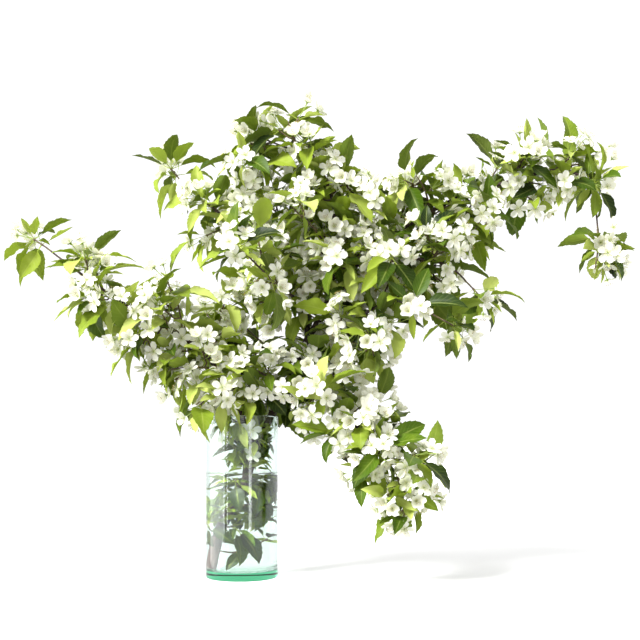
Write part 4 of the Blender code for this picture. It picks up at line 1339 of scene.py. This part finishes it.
def petals_mesh(order, degrees):
    """Five petals of a blossom of radius 1, facing +Z, each of two skins that share their edge."""
    draw = random.Random(f"petals {order}")
    spread = math.radians(degrees)
    points, faces, marks = [], [], []
    for petal in range(5):
        turn = Matrix.Rotation(2 * math.pi * petal / 5 + draw.uniform(-0.09, 0.09), 3, "Z")
        reach, lift, roll = draw.uniform(0.94, 1.04), draw.uniform(-0.05, 0.05), draw.uniform(-0.30, 0.30)
        cup = draw.uniform(0.10, 0.24)
        first, skins = len(points), {}
        for row in range(PETAL_ROWS + 1):
            s = CLAW + BEYOND_CLAW * (row / PETAL_ROWS) ** 0.85
            centre = Vector((reach * s * math.sin(spread), 0, s * s * (math.cos(spread) + lift)))
            wide = PETAL_WIDTH * petal_width(s) * reach
            slope = Vector((math.sin(spread), 0, 2 * s * math.cos(spread))).normalized()
            up = Vector((-slope.z, 0, slope.x))
            for column, across in enumerate(PETAL_COLUMNS):
                notch = NOTCH_DEPTH * max(0.0, 1 - 3 * abs(across)) if row == PETAL_ROWS else 0.0
                spot = centre + Vector((0, across * wide, 0))
                spot += (cup * wide * across * across * CUPPING) * up
                spot += (roll * across * wide * s - notch * 0.2) * up - notch * slope
                spot += CURL * s ** 4 * up
                edge = abs(across) == 1.0 or row in (0, PETAL_ROWS)
                add_spot(points, skins, row, column, spot, (0 if edge else PETAL_THICK / 2) * up)
        points[first:] = [turn @ p for p in points[first:]]
        for row in range(PETAL_ROWS):
            add_row(faces, marks, skins, row, PETAL_ROWS, PETAL_COLUMNS)
    return blade_mesh(f"petals_{order}", points, faces, marks)


def cup_mesh(order, degrees):
    """A blossom's green cup, its yellow-green throat, and five pointed sepals behind the petals."""
    draw = random.Random(f"cup {order}")
    points, faces = [], sleeve(len(CUP_PROFILE), CUP_SIDES)
    for radius, height in CUP_PROFILE:
        points += ring(Vector((0, 0, height)), UP, Vector((1, 0, 0)), radius, CUP_SIDES)
    droop = min(math.radians(degrees) + 0.25, 2.0)
    way = Vector((math.sin(droop), 0, math.cos(droop)))
    up = Vector((-way.z, 0, way.x))
    spots = [SEPAL_BASE - SEPAL_SIDE, SEPAL_BASE + SEPAL_SIDE, SEPAL_BASE + 0.16 * way + 0.03 * up,
             SEPAL_BASE + SEPAL_LENGTH * way - 0.05 * up, SEPAL_BASE - 0.03 * up]
    for sepal in range(5):
        turn = Matrix.Rotation(2 * math.pi * (sepal + 0.5) / 5 + draw.uniform(-0.1, 0.1), 3, "Z")
        faces += [[len(points) + i for i in face] for face in SEPAL_FACES]
        points += [turn @ spot for spot in spots]
    return new_mesh(f"cup_{order}", points, faces)


def stamens_mesh(order, degrees):
    """A brush of stamens and the styles among them, each a thin filament with an anther on its end."""
    draw = random.Random(f"stamens {order}")
    points, faces, marks = [], [], []
    opening = min(0.62, math.radians(degrees) * 0.45)
    for k in range(STAMENS):
        turn = Matrix.Rotation(2 * math.pi * k / STAMENS + draw.uniform(-0.15, 0.15), 3, "Z")
        lean = opening * (1.0 if k % 2 else 0.55) + draw.uniform(-0.08, 0.08)
        way = Vector((math.sin(lean), 0, math.cos(lean)))
        head = FILAMENT_FOOT + draw.uniform(*FILAMENT_LENGTHS) * way
        first = len(points)
        for place, radius in ((FILAMENT_FOOT, 0.013), (head, 0.010), (head + 0.028 * way, ANTHER)):
            points += [turn @ p for p in ring(place, way, Vector((0, 1, 0)), radius, 3)]
        points.append(turn @ (head + 2.2 * ANTHER * way))
        for low in (first, first + 3):
            faces += [(low + i, low + (i + 1) % 3, low + 3 + (i + 1) % 3, low + 3 + i) for i in range(3)]
        faces += [(first + 6 + i, first + 6 + (i + 1) % 3, first + 9) for i in range(3)]
        faces.append((first + 2, first + 1, first))
        marks += [0.0] * 3 + [1.0] * 6 + [0.0]
    mesh = new_mesh(f"stamens_{order}", points, faces)
    mesh.attributes.new("anther", "FLOAT", "FACE").data.foreach_set("value", marks)
    return mesh


def petal_finish():
    """A petal: soft white, creamy green at its claw, finely veined, and thin enough to glow."""
    material, wire = new_finish("petal")
    ahead, across, _ = blade_marks(wire)
    patches = noise_on(wire, 90.0, 3.0)
    fan = across * 26.0 + patches * 2.0
    veins = fan.math("SINE", fan).within(0.3, 1.0) * ahead.within(1.0, 0.2)
    colour = patches.within(0.3, 0.7).blend(paint(250, 250, 243), paint(253, 253, 250))
    colour = (veins * 0.22).blend(colour, paint(214, 220, 196))
    colour = (ahead.within(0.34, 0.0) * 0.75).blend(colour, paint(208, 218, 140))
    skin = wire.add("ShaderNodeBsdfPrincipled", {}, {
        "Base Color": colour, "Roughness": 0.55, "Specular IOR Level": 0.3, "Sheen Weight": 0.15,
        "Normal": relief_of(veins + patches, 0.35, 0.0003)})
    return close_finish(material, lit_through(skin, paint(252, 252, 236), 0.50))


def stamen_finish():
    """Stamens: white filaments and straw-brown anthers."""
    material, wire = new_finish("stamen")
    pollen = noise_on(wire, 900.0).within(0.35, 0.65).blend(paint(150, 120, 60), paint(214, 190, 110))
    colour = mark_on(wire, "anther").blend(paint(240, 242, 224), pollen)
    surface = wire.add("ShaderNodeBsdfPrincipled", {}, {"Base Color": colour, "Roughness": 0.6})
    return close_finish(material, surface)


stalk_look = stalk_finish()
bloom_parts = []
for label, make, look in (("cups", cup_mesh, stalk_look), ("petals", petals_mesh, petal_finish()),
                          ("stamens", stamens_mesh, stamen_finish())):
    meshes = [make(k, degrees) for k, degrees in enumerate(BLOOM_FORMS)]
    bloom_parts.append((label, forms_collection(f"{label}_forms", meshes), look))
for group, members in grouped.items():
    blooms = [bloom for spray in members for bloom in spray.blooms]
    if not blooms:
        continue
    name, runs = f"stalks_{group}", [stalk_run(bloom) for bloom in blooms]
    stalks = stem_mesh(name, runs, STALK_SIDES, STALK_STEP, 0.0, stalk_look)
    place_piece(name, stalks, stalk_look, nodes_of[group])
    spots = [(bloom.form, bloom.radius * BLOOM_FULL, bloom.matrix, 0.0) for bloom in blooms]
    for label, forms, look in bloom_parts:
        name = f"{label}_{group}"
        place_piece(name, set_out(name, forms, spots, look), look, nodes_of[group])


# The surface it stands on and the light: a plain white table, a white dome all round that only shows,
# an even white room light, a soft key from the left in front and a wide panel on the left. The other
# panels light nothing: they are what shines on the glass, as tall strips and lines.
TABLE = 80.0
DROP = 0.0003
DOME_RADIUS, DOME_SIDES = 50.0, 32
SHOWN_WHITE, ROOM_LIGHT, TABLE_GLOW = 1.15, 1.2, 0.02
KEY_FROM, KEY_SPREAD, KEY_POWER = Vector((-1.9, -1.7, 2.1)), math.radians(20), 8.0
Panel = namedtuple("Panel", "degrees distance width height power lights")
PANELS = {
    "panel": Panel(-86, 3.0, 3.6, 2.6, 34.0, True),
    "panel_shine": Panel(-86, 3.1, 3.6, 2.6, 45.0, False),
    "strip": Panel(30.6, 3.0, 0.50, 2.2, 15.0, False),
    "line_1": Panel(-54.5, 3.0, 0.07, 2.2, 7.0, False),
    "line_2": Panel(-43.3, 3.0, 0.07, 2.2, 7.0, False),
}
PANEL_MIDDLE = 0.9


def table_finish():
    """A plain white table, matt and hardly mottled."""
    material, wire = new_finish("white_table")
    colour = noise_on(wire, 3.0).blend(paint(229, 229, 229), paint(233, 233, 233))
    surface = wire.add("ShaderNodeBsdfPrincipled", {}, {
        "Base Color": colour, "Roughness": 0.8, "Specular IOR Level": 0.2,
        "Emission Color": (1, 1, 1, 1), "Emission Strength": TABLE_GLOW})
    return close_finish(material, surface)


def dome_finish():
    """An even white all round."""
    material, wire = new_finish("white_dome")
    return close_finish(material, wire.add("ShaderNodeEmission", {}, {
        "Color": (1, 1, 1, 1), "Strength": SHOWN_WHITE}))


half = TABLE / 2
corners = [(-half, -half, -DROP), (half, -half, -DROP), (half, half, -DROP), (-half, half, -DROP)]
table = show("table", new_mesh("table", corners, [(0, 1, 2, 3)]), table_finish())
table.visible_diffuse = table.visible_glossy = table.visible_transmission = False
dome_profile = arc((0, 0), DOME_RADIUS, -90, 90, DOME_SIDES)
dome = show("dome", turned_mesh("dome", dome_profile, DOME_SIDES), dome_finish())
dome.visible_diffuse = dome.visible_glossy = dome.visible_transmission = dome.visible_shadow = False

world = bpy.data.worlds.new("white_room")
world.use_nodes = True
room = world.node_tree.nodes["Background"]
room.inputs["Color"].default_value = (1, 1, 1, 1)
room.inputs["Strength"].default_value = ROOM_LIGHT
bpy.context.scene.world = world


def place_light(name, kind, place, aim):
    """A light at a place, aimed at a point."""
    data = bpy.data.lights.new(name, kind)
    light = bpy.data.objects.new(name, data)
    light.location = place
    light.rotation_euler = (aim - place).to_track_quat("-Z", "Y").to_euler()
    bpy.context.scene.collection.objects.link(light)
    return light


key = place_light("key", "SUN", KEY_FROM, Vector())
key.data.angle, key.data.energy = KEY_SPREAD, KEY_POWER
for name, panel in PANELS.items():
    turn = math.radians(panel.degrees)
    place = Vector((panel.distance * math.sin(turn), -panel.distance * math.cos(turn), PANEL_MIDDLE))
    light = place_light(name, "AREA", place, Vector((0, 0, PANEL_MIDDLE)))
    light.visible_diffuse = panel.lights
    light.data.shape, light.data.energy = "RECTANGLE", panel.power
    light.data.size, light.data.size_y = panel.width, panel.height
bpy.context.scene.view_settings.view_transform = "Standard"
